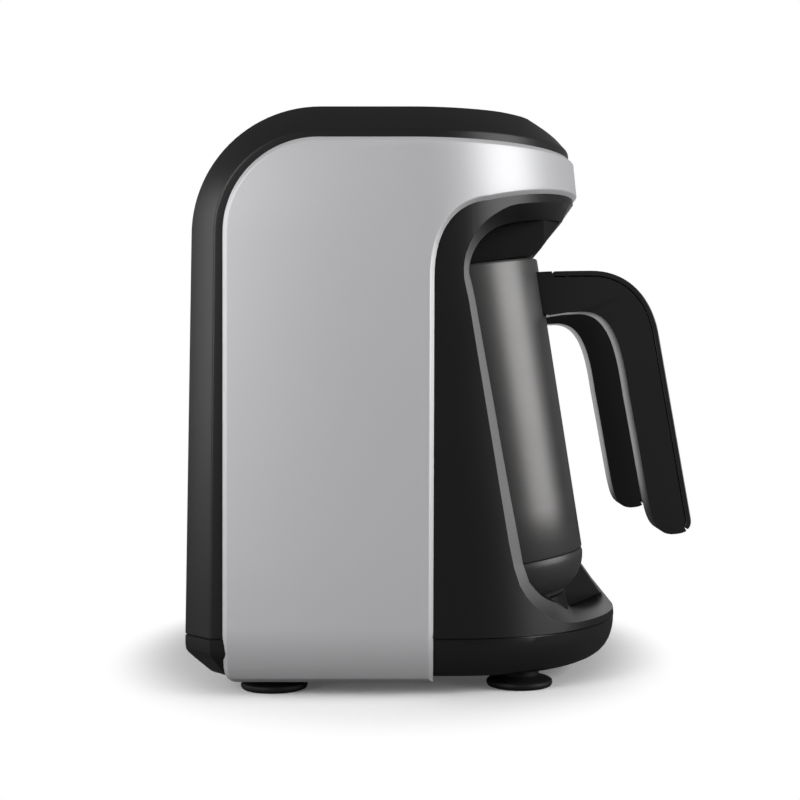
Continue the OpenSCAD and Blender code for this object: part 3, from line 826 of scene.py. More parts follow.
@dataclass
class WrapSkin:
    """Wrapped metal skin: a tall panel on each side joined by a band round the front."""

    thickness: float = 2.0
    chamfer: float = 1.8
    rear_x: float = -92.8
    front_x: float = -5.3
    front_lean: float = 0.6
    bottom_z: float = 6.0
    top_z: float = 234.4
    arc_centre: Point2 = (-53.0, 194.6)
    arc_radii: Point2 = (39.8, 39.8)
    band_z: float = 216.3
    past_middle: float = 12.0
    curl_z: float = 33.0
    curl_depth: float = 8.4
    curl_power: float = 2.5
    # Where the flat sheet is cut so that it bends smoothly: heights, first place, step and count.
    levels: tuple[int, ...] = (9, 12, 15, 18, 21, 24, 27, 30, 60, 100, 140, 176, 190, 200, 210,
                               218, 222, 226, 230)
    first_cut: float = -16.0
    cut_step: float = 2.5
    cuts: int = 72

    def outline(self, arc: Sequence[Point2]) -> list[Point2]:
        """Outline of half the skin, unrolled, from the rear foot round over the top."""
        flat = [(self.rear_x + dx, self.bottom_z + dz) for dx, dz in
                ((4.2, 0.0), (2.6, 0.5), (1.2, 1.8), (0.3, 3.8), (0.0, 6.2))]
        flat += round_arc(self.arc_centre, self.arc_radii, 180, 90, 28)
        end = FORM.corner_x(self.top_z) + arc[-1][0] + FORM.side_y - FORM.corner_b
        band = [(60.0, self.band_z), (48.0, 215.6), (32.0, 212.6), (17.9, 208.9)]
        edge = self.front_x + self.front_lean
        turn = [(17.9, 208.9), (5.0, 207.2), (edge, 197.0), (edge, 176.0)]
        low = [(FORM.unroll(x, z), z) for x, z in cubic(band, 12) + cubic(turn, 16, 1)]
        end += self.past_middle
        return (flat + [(end, self.top_z), (end, self.band_z)] + low
                + [(self.front_x, self.bottom_z)])

    def curl(self, z: float) -> float:
        """How far the skin's lower edge turns in under the body."""
        share = max(0.0, (self.curl_z - z) / (self.curl_z - self.bottom_z))
        return self.curl_depth * share ** self.curl_power

    def build(self) -> None:
        """Builds the skin flat, rounds its edges and bends it round the body."""
        arc = FORM.arc()
        work = Work()
        base = work.face([(u, z, -0.4) for u, z in self.outline(arc)])
        top = work.extrude(base, (0, 0, 0.5))
        bmesh.ops.inset_region(work.bm, faces=top, thickness=self.chamfer, depth=0.0,
                               use_even_offset=True, use_boundary=True)
        raised = {v for f in top for v in f.verts}
        bmesh.ops.translate(work.bm, verts=list(raised), vec=(0, 0, self.thickness - 0.1))
        work.merge(WELD)
        ridge = [e for e in work.bm.edges if all(v in raised for v in e.verts if v.is_valid)
                 and len(e.link_faces) == 2 and e.calc_face_angle(0.0) > 0.3]
        work.round_edges(ridge, 0.35, 2)
        work.slice((0, 1, 0), self.levels)
        work.slice((1, 0, 0), (self.first_cut + self.cut_step * i for i in range(self.cuts)))
        work.reshape(lambda p: FORM.place(p.x, p.y, p.z - self.curl(p.y), arc))
        work.mirror_sides((-20, 0, 120))
        Piece("wrap_skin", Finishes.skin, ("wrap_panel",), smooth=28).publish(work)


@dataclass
class UpperShell:
    """Black upper housing: the rear, the rounded top and the control slope."""

    centre: Point2 = (-53.0, 194.7)
    crease_radii: Point2 = (43.5, 42.7)
    top_radii: Point2 = (54.9, 54.8)
    # Runs of the rear face, the arc over it, the flat top, the front corner and the nose.
    rise_steps: int = 5
    arc_steps: int = 26
    flat_steps: int = 4
    corner_steps: int = 30
    nose_steps: int = 3
    # How far it reaches in under the skin, and how far its face lies behind the body's there.
    under: float = 9.0
    under_z: float = 229.0
    side_gap: float = 0.25
    nose_gap: float = 0.3
    # The angle over which the crease rises, and how far the top lies back at the nose.
    crease_turn: float = 25.0
    top_back: float = 0.6
    crease_round: float = 0.8
    top_round: float = 2.2
    wall: float = 2.6

    def rails(self) -> list[Sequence[Point3]]:
        """Rails of half the shell: under the skin, the crease, the top edge and the middle."""
        stations = []
        centre_x, centre_z = self.centre
        tail = FORM.tail_x(FORM.seam_z)
        for i in range(self.rise_steps):
            t = i / self.rise_steps
            z = lerp(FORM.seam_z, centre_z, t)
            low = lerp(tail + FORM.bevel_x, centre_x - self.crease_radii[0], t)
            high = lerp(tail, centre_x - self.top_radii[0], t)
            stations.append(self._station((low, z), (high, z)))
        arcs = (round_arc(self.centre, radii, 180, 90, self.arc_steps)
                for radii in (self.crease_radii, self.top_radii))
        stations += [self._station(low, high) for low, high in zip(*arcs)]
        start = FORM.corner_x(FORM.side_crease_z)
        for i in range(1, self.flat_steps):
            x = lerp(centre_x, start, i / self.flat_steps)
            stations.append(self._station((x, FORM.side_crease_z), (x, FORM.top_height(x))))
        for i in range(self.corner_steps + 1):
            angle = 90.0 * i / self.corner_steps
            z = lerp(FORM.side_crease_z, FORM.nose_crease_z, min(1.0, angle / self.crease_turn))
            x, y, _ = FORM.corner_point(angle, FORM.nose_crease_z)
            x -= self.top_back * math.sin(math.radians(angle))
            height = FORM.top_height(x)
            stations.append((FORM.corner_point(angle, self.under_z, -self.nose_gap),
                             FORM.corner_point(angle, z),
                             (x, y + FORM.bevel_y, height), (x, 0.0, height)))
        x, _, height = stations[-1][2]
        half = FORM.side_y - FORM.corner_b
        for i in range(1, self.nose_steps + 1):
            share = 1 - i / self.nose_steps
            stations.append((
                (FORM.nose_x(self.under_z) - self.nose_gap, -half * share, self.under_z),
                (FORM.nose_x(FORM.nose_crease_z), -half * share, FORM.nose_crease_z),
                (x, -(half - FORM.bevel_y) * share, height), (x, 0.0, height)))
        return list(zip(*stations))

    def _station(self, low: Point2, high: Point2) -> tuple[Point3, Point3, Point3, Point3]:
        """One place on each rail of the straight side.

        Args:
            low: X and Z on the crease.
            high: X and Z on the top edge.

        Returns:
            The places, in the order of the rails.
        """
        side = -FORM.side_y
        centre = (self.centre[0], min(low[1], self.centre[1]))
        share = max(0.0, 1 - self.under / (math.dist(low, centre) or 1.0))
        return ((lerp(centre[0], low[0], share), side + self.side_gap,
                 lerp(centre[1], low[1], share)),
                (low[0], side, low[1]),
                (high[0], side + FORM.bevel_y, high[1]), (high[0], 0.0, high[1]))

    def build(self) -> None:
        """Sweeps the rails, mirrors them and cuts the recess of the insert and the inlet's hole."""
        work = Work()
        rails = self.rails()
        work.sweep(rails)
        work.merge(WELD)
        for rail, width, segments in ((rails[2], self.top_round, 3),
                                      (rails[1], self.crease_round, 2)):
            edges = []
            for a, b in zip(rail, rail[1:]):
                edges += self._between(work, Vector(a), Vector(b))
            work.round_edges(edges, width, segments)
        work.mirror_sides((-20, 0, 120))
        Piece("upper_shell", Finishes.shell, ("main_housing",), smooth=25, wall=self.wall,
              cutters=(ControlFace().pocket(), RearInlet().hole())).publish(work)

    def _between(self, work: Work, a: Vector, b: Vector) -> list[bmesh.types.BMEdge]:
        """The edges of a mesh that join two places."""
        def joins(p: bmesh.types.BMVert, q: bmesh.types.BMVert) -> bool:
            """Whether the first vertex is at one place and the second at the other."""
            return (p.co - a).length < NEAR and (q.co - b).length < NEAR

        return [e for e in work.bm.edges
                if joins(e.verts[0], e.verts[1]) or joins(e.verts[1], e.verts[0])]


@dataclass
class FrontMoulding:
    """Black front moulding: sides, strip round the bays, slanted face and front of the tray."""

    under_skin_x: float = -14.0
    band_z: float = 226.0
    wall: float = 2.4
    bay_radius: float = 40.0
    bay_foot: float = 10.0
    bay_height: float = 178.0
    ceiling_z: float = 201.0
    bay_front_x: float = 57.0
    # Distances from the middle at which the strip ends, at the slanted face and at the tray.
    strip_ends: Point2 = (67.9, 61.9)
    middle_z: float = 100.0
    # Where the flat sheet is cut so that it bends smoothly: heights, first place, step and count.
    levels: tuple[int, ...] = (40, 52, 76, 90, 118, 132, 155, 170, 220)
    first_cut: float = -14.3
    cut_step: float = 2.6
    cuts: int = 72

    def window(self, arc: Sequence[Point2]) -> tuple[list[Point2], list[Point3]]:
        """The bay's edge, unrolled, and the inner edge opposite, from the middle of the nose."""
        half = FORM.side_y - FORM.corner_b
        nose = FORM.corner_x(BAY.nose_z) + arc[-1][0]
        lip = FORM.corner_x(FORM.lip_z) + arc[-1][0]
        outer = [(u, BAY.nose_z) for u in (nose + half + 8, nose + half * 0.5, nose)]
        inner = [(BAY.fascia_bottom[0], y, BAY.fascia_bottom[1]) for y in (-8.0, 22.0, 46.0)]
        u = FORM.unroll(*BAY.outer[0])
        for t, y in ((0.33, 57.0), (0.66, 67.0)):
            outer.append((lerp(nose, u, t), lerp(BAY.nose_z, BAY.outer[0][1], t)))
            inner.append((BAY.fascia_bottom[0], y, BAY.fascia_bottom[1]))
        for (x, z), place in zip(BAY.outer, BAY.inner):
            outer.append((FORM.unroll(x, z), z))
            inner.append(place)
        u = outer[-1][0]
        for t, y in ((0.2, 57.0), (0.4, 51.0), (0.6, 45.0), (0.8, 38.0), (1.0, 30.0)):
            outer.append((lerp(u, lip, t), lerp(28.6, FORM.lip_z, t)))
            inner.append(BAY.tray_back(y))
        outer += [(lip + half * 0.5, FORM.lip_z), (lip + half + 8, FORM.lip_z)]
        inner += [BAY.tray_back(y) for y in (13.0, -8.0)]
        return outer, inner

    def build(self) -> None:
        """Builds the outside flat, bends it, then draws the strip and the bay walls inwards."""
        arc = FORM.arc()
        outer, inner = self.window(arc)
        work = Work()
        outline = ([(self.under_skin_x, FORM.seam_z), (self.under_skin_x, self.band_z),
                    (outer[0][0], self.band_z)] + outer + [(outer[-1][0], FORM.seam_z)])
        work.face([(u, z, 0) for u, z in outline])
        work.slice((1, 0, 0), (self.first_cut + self.cut_step * i for i in range(self.cuts)))
        work.slice((0, 1, 0), self.levels)
        rim = self._rim(work, outer, inner)
        edges = [e for e in work.bm.edges if all(v in rim for v in e.verts) and e.is_boundary]
        work.reshape(lambda p: FORM.place(p.x, p.y, 0.0, arc))
        for share in (0.5, 1.0):
            edges, rim = self._draw(work, edges, rim, share)
            self._paint(edges, rim)
        strip = [e for e in edges if all(not self._plain(rim[v]) for v in e.verts)]
        middle = {v: (rim[v][0], 0.0, rim[v][2]) for e in strip for v in e.verts}
        across, _ = self._draw(work, strip, middle, 1.0)
        for face in {face for edge in across for face in edge.link_faces}:
            face.material_index = 0
        work.mirror_sides((-20, 0, 226))
        Piece("front_moulding", Finishes.moulding, ("front_housing",), bevel=0.5, bevel_angle=24,
              smooth=30, wall=self.wall, cutters=tuple(self._bay(side) for side in Side),
              accent=Finishes.edge).publish(work)

    def _rim(self, work: Work, outer: Sequence[Point2], inner: Sequence[Point3]) -> dict:
        """Finds the vertices on the bay's edge.

        Args:
            work: The mesh, still flat.
            outer: The bay's edge.
            inner: The inner edge opposite.

        Returns:
            For each vertex the inner place opposite.
        """
        rim = {}
        for vert in work.bm.verts:
            u, z = vert.co.x, vert.co.y
            for a, b, p, q in zip(outer, outer[1:], inner, inner[1:]):
                share = (u - a[0]) * (b[0] - a[0]) + (z - a[1]) * (b[1] - a[1])
                share = min(1.0, max(0.0, share / math.dist(a, b) ** 2))
                if math.dist((u, z), (lerp(a[0], b[0], share), lerp(a[1], b[1], share))) < WELD:
                    rim[vert] = tuple(lerp(s, t, share) for s, t in zip(p, q))
                    break
        return rim

    def _plain(self, place: Point3) -> bool:
        """Whether an inner place lies on the slanted face or on the tray's rear edge."""
        upper, lower = self.strip_ends
        return place[1] < (upper if place[2] > self.middle_z else lower)

    def _paint(self, edges: Sequence[bmesh.types.BMEdge], goals: dict) -> None:
        """Gives the faces of strip and tray that end in these edges the accent finish."""
        for edge in edges:
            if not all(self._plain(goals[v]) and goals[v][2] > self.middle_z
                       for v in edge.verts):
                for face in edge.link_faces:
                    face.material_index = 1

    def _draw(self, work: Work, edges: list, goals: dict, share: float) -> tuple[list, dict]:
        """Extrudes boundary edges towards their goals.

        Args:
            work: The mesh.
            edges: The boundary edges.
            goals: For each vertex its goal: X, distance from the middle and Z.
            share: How far to go.

        Returns:
            The new edges, and the goals of their vertices.
        """
        origin, edges = work.extend(edges)
        for vert, old in origin.items():
            x, y, z = goals[old]
            vert.co = old.co.lerp(Vector((x, -y, z)), share)
        return edges, {vert: goals[old] for vert, old in origin.items()}

    def _bay(self, side: Side) -> bpy.types.Object:
        """The round space of one bay, which cuts the moulding."""
        work = Work()
        work.cylinder(self.bay_radius, self.bay_height, segments=120)
        work.move(pot_matrix(side)
                  @ Matrix.Translation((0, 0, self.bay_foot + self.bay_height / 2)))
        work.cut((0, 0, self.ceiling_z), (0, 0, 1), clear=True)
        work.cut((self.bay_front_x, 0, 30.0), (1, 0, 0), clear=True)
        work.fill()
        work.tidy()
        return as_object("bay_cutter_" + side.word, work)


@dataclass
class BayFloor:
    """Flat floor of the bays, under the seats and behind the moulding's tray."""

    rear_x: float = -20.0
    inset: float = 6.0
    bottom_z: float = 18.6
    thickness: float = 1.6
    steps: int = 30

    def build(self) -> None:
        """Lays the outline of the body, inset, and thickens it."""
        half = [(self.rear_x, -(FORM.side_y - self.inset))]
        half += [FORM.corner_point(90.0 * i / self.steps, FORM.seam_z, -self.inset)[:2]
                 for i in range(self.steps + 1)]
        outline = half + [(x, -y) for x, y in reversed(half)]
        work = Work()
        work.extrude(work.face([(x, y, self.bottom_z) for x, y in outline]),
                     (0, 0, self.thickness))
        work.tidy()
        Piece("bay_floor", Finishes.deep, ("floor_tray",)).publish(work)


@dataclass
class Seat:
    """Slanted plinth under a pot, which stands on the floor of the bay."""

    side: Side
    radius: float = 26.2
    top: float = -0.3
    foot: float = -26.0
    floor_z: float = 20.0

    def build(self) -> None:
        """Turns the plinth round the pot's axis and cuts it level at the floor."""
        r, word = self.radius, self.side.word
        work = turned([(0, self.foot), (r + 1.2, self.foot), (r + 0.3, self.top - 4),
                       (r, self.top - 0.6), (r - 0.6, self.top), (0, self.top)],
                      pot_matrix(self.side))
        work.cut((0, 0, self.floor_z), (0, 0, -1), clear=True)
        work.fill()
        work.tidy()
        Piece("bay_seat_" + word, Finishes.seat, ("seat_" + word,)).publish(work)


def pot_matrix(side: Side) -> Matrix:
    """Place of a pot's own frame: origin under its base, Z along its axis, X to the handle."""
    x, z = POT_FOOT
    return (Matrix.Translation((x, POT_Y * side.value, z))
            @ Matrix.Rotation(math.radians(-POT_TILT), 4, "Y"))


@dataclass
class Tub:
    """Shallow bottom shell, chamfered at the rear and full round the front, with vents."""

    seam_z: float = 25.2
    bottom_z: float = 8.0
    blend: Point2 = (-70.0, -25.0)
    # Height, then insets at the rear and round the front, from the tongue down to the floor.
    section: tuple[Point3, ...] = (
        (27.2, 4.2, 4.2), (27.2, 2.7, 2.7), (25.2, 2.7, 2.7), (25.2, 0.5, 0.6), (24.8, 0.0, 0.1),
        (21.5, 0.0, 0.3), (19.2, 0.25, 0.7), (17.6, 1.2, 1.1), (15.0, 3.7, 2.0), (12.6, 6.2, 3.4),
        (10.6, 8.3, 5.2), (9.2, 9.7, 7.2), (8.3, 10.9, 9.2), (8.0, 12.2, 11.4))
    side_steps: int = 12
    corner_steps: int = 40
    under_skin: float = 0.5
    wall: float = 1.6
    screws: tuple[Point2, ...] = ((-86, -70), (-86, 70), (10, -70), (10, 70))

    def ring(self, z: float, rear: float, front: float) -> list[Point3]:
        """Half an outline of the body at the seam, inset, from the rear middle to the front."""
        x0, side = FORM.tail_x(FORM.seam_z), FORM.side_y
        beside = max(front, WrapSkin().curl(z) + self.under_skin if z < 25 else 0.0)
        knee = side - FORM.bevel_y - rear / 2
        points = [(x0 + rear, 0.0, z), (x0 + rear, -knee * 0.5, z)]
        slant = [(x0 + rear, -knee), (x0 + FORM.bevel_x + rear / 2, -(side - rear))]
        points += [(*(lerp(a, b, i / 3) for a, b in zip(*slant)), z) for i in range(4)]
        start = FORM.corner_x(FORM.seam_z)
        for i in range(1, self.side_steps):
            x = lerp(slant[1][0], start, i / self.side_steps)
            inset = table(x, [(self.blend[0], rear), (self.blend[1], beside)])
            points.append((x, -(side - inset), z))
        for i in range(self.corner_steps + 1):
            inset = lerp(beside, front, min(1.0, 2 * i / self.corner_steps))
            angle = 90.0 * i / self.corner_steps
            points.append(FORM.corner_point(angle, FORM.seam_z, -inset)[:2] + (z,))
        return points + [(FORM.nose_x(FORM.seam_z) - front, -22.0, z),
                         (FORM.nose_x(FORM.seam_z) - front, 0.0, z)]

    def build(self) -> None:
        """Sweeps the outlines, closes the floor and cuts the vents and screw recesses."""
        work = Work()
        rails = [self.ring(*station) for station in self.section]
        count = len(rails[0]) - 1
        rails.append([(lerp(rails[-1][0][0], rails[-1][-1][0], i / count), 0.0, self.bottom_z)
                      for i in range(count + 1)])
        work.sweep(rails)
        work.mirror_sides((-20, 0, 18))
        cutter = Work()
        for i in range(-3, 4):
            cutter.block((36, 3, 14), (-2, i * 12, 9))
        for x, y in self.screws:
            cutter.cylinder(4, 16, (x, y, 9), 40)
        Piece("bottom_tub", Finishes.shell, ("bottom_shell",), smooth=25, wall=self.wall,
              cutters=(as_object("tub_cutter", cutter),)).publish(work)


# --- controls -------------------------------------------------------------------------------


@dataclass
class ControlFace:
    """Gloss insert in the control slope, its press buttons and lamps."""

    centre_x: float = 47.2
    length: float = 108.0
    depth: float = 14.5
    plate: float = 1.6
    gap: float = 0.25
    cap_radius: float = 5.2
    lamp_radius: float = 1.5
    # The slope's upper end, as X and Z, and the height of its foot at the nose.
    slope_top: Point2 = (36.5, 248.2)
    slope_foot_z: float = 240.2
    buttons: tuple[tuple[str, float], ...] = (
        ("button_left_small", -43.0), ("button_left_large", -25.0),
        ("button_right_large", 25.0), ("button_right_small", 43.0))
    lamps: tuple[tuple[str, float, tuple[str, ...]], ...] = (
        ("lamp_left", -34.0, ()), ("lamp_right", 34.0, ("indicator_lights",)))

    def matrix(self, y: float = 0.0) -> Matrix:
        """Place on the slope at Y, its Z out of the face."""
        x, z = self.slope_top
        run = FORM.nose_x(FORM.nose_crease_z) - x
        slope = math.atan((z - self.slope_foot_z) / run)
        height = lerp(z, self.slope_foot_z, (self.centre_x - x) / run)
        return (Matrix.Translation((self.centre_x, 0, height)) @ Matrix.Rotation(slope, 4, "Y")
                @ Matrix.Translation((0, y, 0)))

    def _plate(self, size: Point3, height: float, radius: float) -> Work:
        """A plate with rounded corners on the slope.

        Args:
            size: Its depth, length and thickness.
            height: Height of its middle over the face.
            radius: Radius of its corners.

        Returns:
            Its mesh.
        """
        work = Work()
        work.block(size, (0, 0, height))
        upright = [e for e in work.bm.edges
                   if abs(e.verts[0].co.z - e.verts[1].co.z) > 0.5 * self.plate]
        work.round_edges(upright, radius, 5)
        work.move(self.matrix())
        return work

    def pocket(self) -> bpy.types.Object:
        """The recess of the insert, as a mesh that cuts the shell."""
        return as_object("pocket_cutter",
                         self._plate((self.depth, self.length, 2 * self.plate), 0, 1.6))

    def build(self) -> None:
        """Builds the insert, four dished caps and two light pipes with domed ends."""
        insert = self._plate((self.depth - 2 * self.gap, self.length - 2 * self.gap,
                              self.plate - 0.1), -self.plate / 2 + 0.05, 1.5)
        holes = Work()
        for _, y in self.buttons:
            holes.cylinder(self.cap_radius + 0.25, 9, (0, y, 0))
        for _, y, _ in self.lamps:
            holes.cylinder(self.lamp_radius + 0.1, 9, (0, y, 0), 40)
        holes.move(self.matrix())
        Piece("control_insert", Finishes.gloss, ("control_panel",), bevel=0.25,
              cutters=(as_object("insert_cutter", holes),)).publish(insert)
        r = self.cap_radius
        cap = [(0, 0.52), (1.4, 0.54), (2.6, 0.6), (3.6, 0.7), (4.3, 0.84), (4.7, 0.9),
               (5.0, 0.82), (5.16, 0.62), (r, 0.4), (r, -2.6), (r + 0.7, -2.6), (r + 0.7, -3.4),
               (1.8, -3.4), (1.8, -6.0), (0, -6.0)]
        for node, y in self.buttons:
            Piece(node + "_cap", Finishes.cap, (node,), node).publish(turned(cap, self.matrix(y)))
        r = self.lamp_radius
        pipe = [(0, 0.25), (0.7, 0.22), (1.2, 0.1), (r, -0.1), (r, -11.0), (0, -11.0)]
        for name, y, nodes in self.lamps:
            Piece(name, Finishes.lamp, nodes).publish(turned(pipe, self.matrix(y), 40))


@dataclass
class RearInlet:
    """Bushing of the cord inlet, low on the rear face."""

    x: float = -110.2
    y: float = 80.0
    z: float = 44.0
    bore: float = 3.6
    hole_radius: float = 8.1

    def matrix(self) -> Matrix:
        """Place of the bushing, its Z into the machine."""
        return Matrix.Translation((self.x, self.y, self.z)) @ Matrix.Rotation(math.pi / 2, 4, "Y")

    def hole(self) -> bpy.types.Object:
        """The hole in the rear wall, as a mesh that cuts it."""
        work = Work()
        work.cylinder(self.hole_radius, 24)
        work.move(self.matrix())
        return as_object("inlet_cutter", work)

    def build(self) -> None:
        """Builds the ribbed bushing with its bore."""
        r = self.bore
        profile = [(r, 12.0), (r, 0.4), (4.0, 0.0), (6.8, 0.0), (7.6, 0.3), (8.0, 0.9),
                   (8.0, 3.6), (11.0, 3.6), (11.0, 7.6), (8.0, 7.6), (8.0, 12.0), (r, 12.0)]
        Piece("inlet_bushing", Finishes.rubber, ("cord_gland",), bevel=0.3,
              bevel_angle=50).publish(turned(profile, self.matrix()))


# --- heads, divider, feet -------------------------------------------------------------------


@dataclass
class SensorHead:
    """Head that hangs from the ceiling over a pot, its front in line with the slanted face."""

    side: Side
    half: float = 18.0
    top_z: float = 204.6
    front_slope: float = 1.36
    # Two places of the corner cut, as X and distance from the middle, behind the strip's edge.
    corner: tuple[Point2, Point2] = ((52.2, 76.0), (43.7, 90.0))

    # Height over the pot's foot, along its axis, at which the head's underside lies.
    rim: float = 150.2

    def outline(self) -> list[Point2]:
        """Side outline of the head."""
        tilt, (foot_x, foot_z) = math.radians(POT_TILT), POT_FOOT

        def under(x: float) -> float:
            """Height over the pot's rim, parallel to it."""
            return foot_z + (self.rim + (x - foot_x) * math.sin(tilt)) / math.cos(tilt)

        nose = cubic([(42.3, 191.0), (40.9, 188.9), (38.7, 188.2), (35.0, under(35.0))], 6)
        front = 42.6 + (self.top_z - 191.4) / self.front_slope
        return [(front, self.top_z)] + nose + [
            (-26.0, under(-26.0)), (-30.0, under(-26.0) + 2.5), (-31.0, self.top_z)]

    def build(self) -> None:
        """Extrudes the outline, cuts its outer front corner, gives the cut face near-black painted
        shade and rounds its edges.
        """
        word, sign = self.side.word, self.side.value
        work = Work()
        work.prism(self.outline(), self.half, POT_Y * sign)
        (x0, y0), (x1, y1) = self.corner
        work.cut((x0, y0 * sign, 200.0), (y1 - y0, (x0 - x1) * sign, 0.0), clear=True)
        # The cut face takes the near-black seat finish as painted shade, so that it shows as dark
        # as the head's side instead of as a lit facet.
        for face in work.fill():
            face.material_index = 1
        work.tidy()
        Piece("head_" + word, Finishes.head, ("sensor_head_" + word,), bevel=0.6,
              bevel_angle=62, accent=Finishes.seat).publish(work)


@dataclass
class Divider:
    """Wall between the bays: slanted like the pots, then stepped down to the front lip."""

    half: float = 10.0
    outline: tuple[Point2, ...] = (
        (6.0, 19.5), (78.0, 19.5), (78.0, 28.6), (68.4, 42.2), (62.4, 49.3), (57.1, 55.8),
        (54.4, 59.6), (52.2, 64.4), (29.9, 203.0), (6.0, 203.0))

    def build(self) -> None:
        """Extrudes the outline and rounds its edges."""
        work = Work()
        work.prism(self.outline, self.half)
        Piece("bay_divider", Finishes.divider, ("divider",), bevel=1.0,
              bevel_angle=12).publish(work)


@dataclass
class Foot:
    """Round rubber foot: a disc under a narrower stem."""

    name: str
    place: Point2
    radius: float = 14.4
    stem: float = 8.5
    top_z: float = 9.6

    def build(self) -> None:
        """Turns the foot's profile."""
        r, stem = self.radius, self.stem
        profile = [(0, 0.5), (6.0, 0.5), (6.6, 0.0), (r - 1.6, 0.0), (r - 0.6, 0.35),
                   (r - 0.1, 1.1), (r, 1.9), (r - 0.25, 2.8), (r - 1.2, 3.5), (r - 3.2, 3.9),
                   (stem + 0.9, 4.3), (stem, 5.2), (stem, self.top_z), (0, self.top_z)]
        Piece(self.name + "_pad", Finishes.rubber, (self.name,)).publish(
            turned(profile, Matrix.Translation((*self.place, 0))))


# --- the pots -------------------------------------------------------------------------------


def publish_on_pot(side: Side, name: str, node: str, finish: Finish, work: Work,
                   **options: object) -> None:
    """Dresses one mesh that rides on a pot.

    Args:
        side: The pot's side.
        name: The piece's name, without the side.
        node: The node it stands for, without the side.
        finish: Its finish.
        work: Its mesh.
        options: Further fields of the piece.
    """
    word = side.word
    Piece(f"{name}_{word}", finish, (f"{node}_{word}",), "pot_" + word, **options).publish(work)


@dataclass
class Pot:
    """One pot: grey sleeve, rounded base, steel cup and an open handle."""

    side: Side
    radius: float = 37.0
    height: float = 149.3
    waist: float = 26.2
    steps: int = 144

    def build(self) -> None:
        """Turns the sleeve, the base and the cup, and builds the handle."""
        for name, finish, profile in (("sleeve", Finishes.pot, self.sleeve()),
                                      ("base", Finishes.base, self.base()),
                                      ("cup", Finishes.cup, self.cup())):
            publish_on_pot(self.side, name, "pot_" + name, finish,
                           turned(profile, pot_matrix(self.side), self.steps))
        Handle(self.side).build()

    def sleeve(self) -> list[Point2]:
        """Profile of the grey sleeve between the base and the rim."""
        r, h = self.radius, self.height
        return [(r - 1.7, h - 1.4), (r - 0.8, h - 0.12), (r - 0.45, h - 0.15),
                (r - 0.12, h - 0.6), (r, h - 1.3), (r, 120.0), (r, 80.0), (r, 40.0), (r, 18.9),
                (r - 0.3, 18.45), (r - 1.0, 18.4), (r - 1.0, 80.0), (r - 1.7, h - 1.4)]

    def base(self) -> list[Point2]:
        """Profile of the rounded base that narrows to a flat waist."""
        arc = round_arc((20.0, 18.0), (17.0, -18.0), 0.0, 67.0, 14)[1:]
        return ([(0, 18.2), (self.radius - 1.2, 18.2), (self.radius - 0.4, 18.0)] + arc
                + [(self.waist, 0.5), (self.waist - 0.4, 0.0), (0, 0.0)])

    def cup(self) -> list[Point2]:
        """Profile of the steel cup, with its rolled lip and fine level rings inside."""
        r, h = self.radius, self.height
        inner = r - 3.0
        wall = [(inner, h - 1.2)]
        for v in (116.0, 84.0):
            wall += [(inner, v + 0.5), (inner - 0.25, v), (inner, v - 0.5)]
        return ([(0, 22.0), (inner - 0.8, 22.0), (inner + 1.2, 24.0), (inner + 1.2, h - 1.4),
                 (r - 0.75, h - 0.75), (r - 0.8, h - 0.3), (r - 1.2, h), (inner + 0.9, h),
                 (inner + 0.2, h - 0.4)]
                + wall + [(inner, 27.4), (inner - 0.6, 25.6), (inner - 2.4, 24.2),
                          (inner - 4.5, 24.0), (0, 24.0)])


